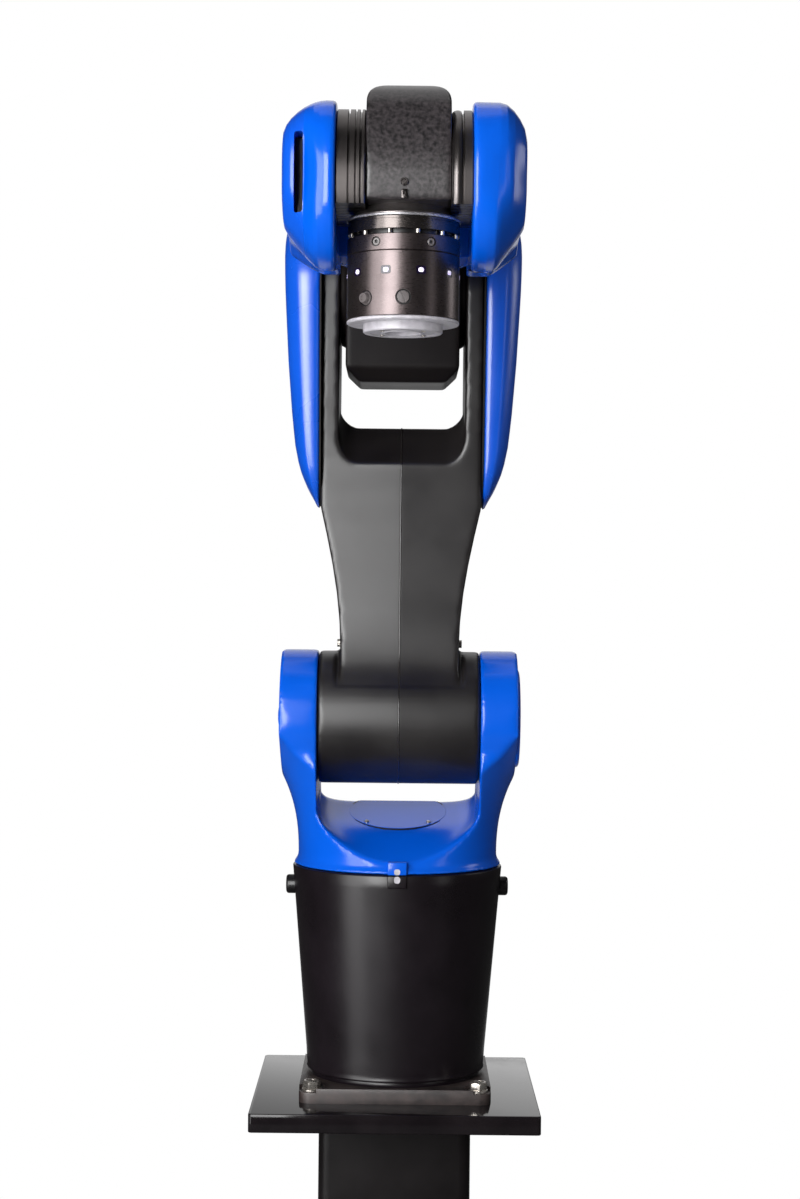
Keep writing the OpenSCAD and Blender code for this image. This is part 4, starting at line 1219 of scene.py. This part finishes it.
toolShape = {
    "radius": 48, "edge": 0.5, "rimRadius": 48.9, "rimEdge": 0.55, "rimGroove": (0.35, 0.3),
    "undercut": 1.7, "core": 42.5, "ringGroove": (8.7, 0.3, 0.25), "screws": 12, "screwRing": 45.7,
    "screwHead": [(0, 0.05), (1.6, 0.05), (1.9, 0.35), (1.9, 3.5), (0, 3.5)],
    "sensorScrews": (-61, -119), "sensorUp": 0.3, "hole": (46.2, 4, 4.2), "hex": (46.3, 3, 1.75),
    "sensorScrew": [(0, 44), (3.3, 44), (3.3, 47.2), (2.9, 47.6), (0, 47.6)], "screwSeat": (44, 2.6, 4.1),
    "windows": 10, "windowHeight": 38, "windowHalf": (2.4, 1.9), "frameHalf": (4.4, 3.6), "framePlay": 0.15,
    "pocket": (1.9, 47.2, 50), "frame": (1.8, 45, 47.85), "glass": (1.5, 46, 48.1), "glassEdge": 0.25,
    "groove": 45.5, "grooveIn": 0.4, "lampShort": 0.2,
    "connectorHeight": 15, "connectors": (-90, -131), "socket": (46.4, 5, 6.7), "socketSeat": (44, 2.8, 6.6),
    "slottedCap": [(0, 45), (5.3, 45), (5.3, 47.8), (4.9, 48.4), (0, 48.6)],
    "capSlot": ((47.5, -0.6, -5.4), (50, 0.6, 5.4)), "capTurn": 24,
    "knob": [(0, 45), (5.6, 45), (5.6, 47.6), (5.2, 48), (4.6, 48), (4.5, 48.2), (4.4, 51.2), (3.9, 51.9),
             (2.2, 51.9), (2.0, 51.2), (0, 51.2)],
    "faceEdge": 0.8, "boss": 34, "bore": 15, "bossScrewRing": 25, "bossScrews": (45, 135, 225, 315),
    "bossScrew": [(0, 1.4), (2.2, 1.4), (2.2, -0.1), (1.8, -0.5), (1.1, -0.5), (1.0, 0.3), (0, 0.3)],
}
toolAxis = Vector((wrist.x, wrist.y, 0))


def toolHeights(node):
    low, high = corners(node)
    return low.z, high.z


def toolRing(name, low, high, radius, edge, grooves=()):
    # turned ring about the tool's axis, with bevelled edges and fine grooves at given heights
    profile = [(0, low), (radius - edge, low), (radius, low + edge * mm)]
    for height, depth, width in grooves:
        z = low + height * mm
        profile += [(radius, z - width * mm), (radius - depth, z - width * mm / 2)]
        profile += [(radius - depth, z + width * mm / 2), (radius, z + width * mm)]
    profile += [(radius, high - edge * mm), (radius - edge, high), (0, high)]
    return turned(name, [(r, z / mm) for r, z in profile], toolAxis, steps=160)


def spun(obj, angle):
    # turns a part modelled along +X to its place round the tool's axis
    obj.data.transform(Matrix.Translation(toolAxis) @ Matrix.Rotation(math.radians(angle), 4, "Z")
                       @ Matrix.Translation(-toolAxis))
    return obj


def ringOf(obj, angles):
    # copies of one part at several angles, which take its place
    twins = [copyTo(obj, turn=math.radians(a), about=toolAxis) for a in angles]
    bpy.data.objects.remove(obj)
    return twins


def tile(name, half, corner, r0, r1, height):
    # small plate with round corners that faces outwards along +X
    outline = [Vector((toolAxis.x + r0 * mm, toolAxis.y + y * mm, height + z * mm))
               for y, z in roundRect(half[0], half[1], corner, 4)]
    return prism(name, outline, ((r1 - r0) * mm, 0, 0))


def outwardRod(name, sizes, height, sides):
    # rod along +X from the tool's side; sizes are its start, length and radius
    start, length, radius = sizes
    place = (toolAxis.x + start * mm, toolAxis.y, height)
    return rod(name, place, (1, 0, 0), length * mm, radius * mm, sides)


def outwardTurned(name, profile, height, steps):
    return turned(name, profile, (toolAxis.x, toolAxis.y, height), (1, 0, 0), (0, 0, 1), steps)


def makeAdapter():
    v = toolShape
    low, high = toolHeights("adapter_rim")
    rim = toolRing("bright_rim", low, high, v["rimRadius"], v["rimEdge"],
                   [((high - low) / mm / 2, *v["rimGroove"])])
    finish(smooth(rim, 30), "tool", "bright_aluminium", finishes["aluminium"], "adapter_rim")
    low, high = toolHeights("adapter_ring")
    gapTop = low + v["undercut"] * mm
    ring = toolRing("adapter_body", gapTop, high, v["radius"], v["edge"], [v["ringGroove"]])
    finish(smooth(ring, 30), "tool", "black_anodised", finishes["darkAnodised"], "adapter_ring")
    gapLow = toolHeights("adapter_screws")[0]
    # the core in the screw gap takes near-black plastic, not the rings' anodised finish: painted shade of the
    # narrow gap
    core = toolRing("screw_gap_painted_shade", gapLow, gapTop, v["core"], 0.05)
    finish(smooth(core, 30), "tool", "black_anodised", finishes["plastic"])
    head = turned("adapter_screw", v["screwHead"],
                  (toolAxis.x + v["screwRing"] * mm, toolAxis.y, gapLow), steps=20)
    heads = ringOf(head, [(i + 0.5) * 360 / v["screws"] for i in range(v["screws"])])
    finish(smooth(join("adapter_screw_heads", heads), 35),
           "tool", "bright_steel", finishes["steel"], "adapter_screws")


def makeSensor():
    v = toolShape
    low, high = toolHeights("sensor_ring")
    ring = toolRing("sensor_body", low, high, v["radius"], v["edge"])
    middle = (low + high) / 2 + v["sensorUp"] * mm
    screws = []
    for angle in v["sensorScrews"]:
        cut(ring, spun(outwardRod("hole", v["hole"], middle, 40), angle))
        screw = outwardTurned("cap", v["sensorScrew"], middle, 36)
        cut(screw, outwardRod("hex", v["hex"], middle, 6))
        screws.append(spun(screw, angle))
    finish(smooth(ring, 30), "tool", "grey_anodised", finishes["anodised"], "sensor_ring")
    finish(smooth(join("sensor_screws", screws), 35), "tool", "black_anodised", finishes["cap"])
    # near-black discs at the floor of the screw holes: painted shade of the recesses round the screws
    seats = ringOf(outwardRod("seat", v["screwSeat"], middle, 40), v["sensorScrews"])
    finish(smooth(join("screw_seats_painted_shade", seats), 35), "tool", "black_anodised", finishes["plastic"])


def makeLamp():
    v = toolShape
    low, high = toolHeights("lamp_body")
    body = toolRing("lamp_shell", low, high - v["lampShort"] * mm, v["radius"], v["edge"])
    height = low + v["windowHeight"] * mm
    angles = [i * 360 / v["windows"] for i in range(v["windows"])]
    for pocket in ringOf(tile("pocket", v["frameHalf"], *v["pocket"], height), angles):
        cut(body, pocket)
    grooveLow, grooveHigh = high / mm - v["grooveIn"], toolHeights("sensor_ring")[0] / mm
    section = [(0, grooveLow), (v["groove"], grooveLow), (v["groove"], grooveHigh), (0, grooveHigh)]
    neckRing = turned("lamp_groove", section, toolAxis, steps=96)
    frameHalf = [half - v["framePlay"] for half in v["frameHalf"]]
    frames = ringOf(tile("frame", frameHalf, *v["frame"], height), angles)
    finish(smooth(join("window_frames", frames), 35), "tool", "black_plastic", finishes["violetPlastic"])
    glass = tile("glass", v["windowHalf"], *v["glass"], height)
    roundEdges(glass, v["glassEdge"] * mm, 2)
    finish(smooth(join("lit_windows", ringOf(glass, angles)), 35),
           "tool", "lit_window", finishes["window"], "lamp_windows")
    middle = low + v["connectorHeight"] * mm
    for angle in v["connectors"]:
        cut(body, spun(outwardRod("socket", v["socket"], middle, 48), angle))
    finish(smooth(join("lamp_shell", [body, neckRing]), 30),
           "tool", "grey_anodised", finishes["anodised"], "lamp_body")
    # near-black discs at the floor of the connector sockets: painted shade of the recesses round the caps
    seats = ringOf(outwardRod("seat", v["socketSeat"], middle, 48), v["connectors"])
    finish(smooth(join("connector_seats_painted_shade", seats), 35), "tool", "black_anodised", finishes["plastic"])
    place = Vector((toolAxis.x, toolAxis.y, middle))
    cap = outwardTurned("slotted_cap", v["slottedCap"], middle, 48)
    slot = block("slot", *[place + Vector(spot) * mm for spot in v["capSlot"]])
    slot.data.transform(Matrix.Translation(place) @ Matrix.Rotation(math.radians(v["capTurn"]), 4, "X")
                        @ Matrix.Translation(-place))
    cut(cap, slot)
    knob = outwardTurned("knob", v["knob"], middle, 48)
    caps = [spun(part, angle) for part, angle in zip((cap, knob), v["connectors"])]
    finish(smooth(join("connector_caps", caps), 35),
           "tool", "black_plastic", finishes["cap"], "lamp_connectors")


def makeBoss():
    v = toolShape
    low, high = toolHeights("lamp_face")
    face = toolRing("diffuser", low, high, v["radius"], v["faceEdge"])
    finish(smooth(face, 30), "tool", "pale_plastic", finishes["paintedGlowPlastic"], "lamp_face")
    bore, boss = v["bore"], v["boss"]
    foot, top = toolHeights("tool_boss")[0] / mm, low / mm
    profile = [(bore, top), (bore, foot + 0.5), (bore + 0.5, foot), (bore + 3, foot),
               (bore + 3.6, foot + 0.8), (boss - 6.6, foot + 0.8), (boss - 6, foot + 0.2),
               (boss - 1, foot + 0.2), (boss, foot + 1.2), (boss, top), (bore, top)]
    finish(smooth(turned("pale_boss", profile, toolAxis, steps=128), 30),
           "tool", "pale_plastic", finishes["paintedGlowPlastic"], "tool_boss")
    screw = turned("boss_screw", v["bossScrew"],
                   (toolAxis.x + v["bossScrewRing"] * mm, toolAxis.y, (foot + 0.5) * mm), steps=24)
    finish(smooth(join("boss_screws", ringOf(screw, v["bossScrews"])), 35),
           "tool", "bright_steel", finishes["steel"])


makeAdapter()
makeSensor()
makeLamp()
makeBoss()
print("tool made")


# Floor, light and camera

stage = {
    "floor": 30, "floorShade": 0.30, "floorCloud": 0.04, "floorPale": 0.85, "floorLit": 0.4,
    "floorFront": 0.08, "floorBehind": 0.6, "front": 0.03, "back": 0.85, "ambient": 0.25,
}


def grey(value):
    return (value, value, value, 1)


def makeFloor():
    # camera sees it white away from the object, and pale with the object's shadow close to it;
    # reflections see it white behind the object and dark in front
    v = stage
    bpy.ops.mesh.primitive_plane_add(size=v["floor"], location=(0, 6, 0))
    floor = settle(named("floor"))
    s = Shader("pale_floor", Roughness=0.9)
    cloud = s.noise(1.5, 2, 0.5)
    lampLit = s.blend(cloud, grey(v["floorShade"]), grey(v["floorShade"] + v["floorCloud"]))
    path = s.node("ShaderNodeLightPath")
    split = s.node("ShaderNodeSeparateXYZ", Vector=s.place)
    aside, back = Link(s.tree, split.outputs["X"]), Link(s.tree, split.outputs["Y"])
    toCamera = Link(s.tree, path.outputs["Is Camera Ray"])
    reflected = Link(s.tree, path.outputs["Is Glossy Ray"])
    reflected = reflected + Link(s.tree, path.outputs["Is Transmission Ray"])
    behind = s.spread(back, 0, 1, 0.8, 2.4) * s.spread(aside * aside, 1, 0, 0.1, 1.4)
    close = s.spread(aside * aside + back * back, v["floorLit"], 0, 0.1, 2.2)
    white = toCamera * (1 - close) + reflected * behind * v["floorBehind"]
    toRoom = s.blend(reflected * (1 - behind), lampLit, grey(v["floorFront"]))
    s.feed("Base Color", s.blend(toCamera, toRoom, grey(v["floorPale"])))
    glow = s.node("ShaderNodeEmission", Color=(1, 1, 1, 1), Strength=1.0)
    mix = s.node("ShaderNodeMixShader", i0=white, i1=s.surface.outputs[0], i2=glow.outputs[0])
    s.tree.links.new(mix.outputs[0], s.tree.nodes["Material Output"].inputs[0])
    floor.data.materials.append(s.material)


clearSelection()
makeFloor()


def makeWorld():
    # camera sees white; reflections see the white backdrop behind and a dim room in front
    world = bpy.data.worlds.new("studio")
    world.use_nodes = True
    bpy.context.scene.world = world
    tree = world.node_tree
    tree.nodes.clear()
    path = tree.nodes.new("ShaderNodeLightPath")
    direction = tree.nodes.new("ShaderNodeTexCoord")
    split = tree.nodes.new("ShaderNodeSeparateXYZ")
    tree.links.new(direction.outputs["Generated"], split.inputs[0])

    def ranged(socket, start, end, low, high):
        node = tree.nodes.new("ShaderNodeMapRange")
        node.interpolation_type = "SMOOTHSTEP"
        for key, value in (("From Min", start), ("From Max", end), ("To Min", low), ("To Max", high)):
            node.inputs[key].default_value = value
        tree.links.new(socket, node.inputs["Value"])
        return node.outputs[0]

    sideways = tree.nodes.new("ShaderNodeMath")
    sideways.operation = "ABSOLUTE"
    tree.links.new(split.outputs["X"], sideways.inputs[0])
    backdrop = tree.nodes.new("ShaderNodeMath")
    backdrop.operation = "MULTIPLY"
    tree.links.new(ranged(split.outputs["Y"], 0.35, 0.8, 0, 1), backdrop.inputs[0])
    tree.links.new(ranged(sideways.outputs[0], 0.1, 0.32, 1, 0), backdrop.inputs[1])

    def background(strength):
        node = tree.nodes.new("ShaderNodeBackground")
        node.inputs["Color"].default_value = (1, 1, 1, 1)
        node.inputs["Strength"].default_value = strength
        return node

    def mixed(factor, first, second):
        node = tree.nodes.new("ShaderNodeMixShader")
        tree.links.new(factor, node.inputs[0])
        tree.links.new(first.outputs[0], node.inputs[1])
        tree.links.new(second.outputs[0], node.inputs[2])
        return node

    room = background(1)
    tree.links.new(ranged(backdrop.outputs[0], 0, 1, stage["front"], stage["back"]),
                   room.inputs["Strength"])
    bounced = mixed(path.outputs["Is Glossy Ray"], background(stage["ambient"]), room)
    through = mixed(path.outputs["Is Transmission Ray"], bounced, background(1))
    plain = mixed(path.outputs["Is Camera Ray"], through, background(1))
    output = tree.nodes.new("ShaderNodeOutputWorld")
    tree.links.new(plain.outputs[0], output.inputs[0])


makeWorld()


softboxes = {  # place, target, width, height, power
    "key_softbox": ((-0.84, -2.13, 1.30), (0, -0.1, 1.1), 0.95, 1.6, 50),
    "side_softbox": ((-1.66, -1.54, 1.02), (0, -0.1, 0.95), 0.9, 2.0, 26),
    "fill_softbox": ((1.9, -1.6, 1.2), (0, -0.1, 1.0), 0.4, 1.4, 2),
    "back_softbox": ((0.5, 2.7, 2.0), (0, 0, 1.0), 1.8, 1.5, 30),
    "rim_softbox": ((1.5, 0.25, 1.55), (0, -0.3, 1.35), 0.4, 0.6, 1.6),
    "top_softbox": ((0.0, 0.3, 3.4), (0, 0, 1.0), 1.6, 1.6, 5),
}
for name, (place, target, width, height, power) in softboxes.items():
    lamp = bpy.data.lights.new(name, "AREA")
    lamp.shape = "RECTANGLE"
    lamp.size = width
    lamp.size_y = height
    lamp.energy = power
    box = bpy.data.objects.new(name, lamp)
    bpy.context.scene.collection.objects.link(box)
    box.visible_camera = False
    box.visible_glossy = name != "back_softbox"         # the back one only lifts the unlit side
    box.location = place
    box.rotation_euler = (Vector(target) - Vector(place)).to_track_quat("-Z", "Y").to_euler()

view = {"distance": 2.383, "height": 1.063, "roll": -0.6, "focal": 67.56, "reach": 200}
cameraData = bpy.data.cameras.new("camera")
cameraData.sensor_width = 36
cameraData.sensor_fit = "AUTO"
cameraData.lens = view["focal"]
cameraData.clip_end = view["reach"]
camera = bpy.data.objects.new("camera", cameraData)
bpy.context.scene.collection.objects.link(camera)
camera.location = (0, -view["distance"], view["height"])
camera.rotation_euler = (math.pi / 2, math.radians(view["roll"]), 0)
bpy.context.scene.camera = camera
bpy.context.scene.view_settings.view_transform = "Standard"
print("stage set")
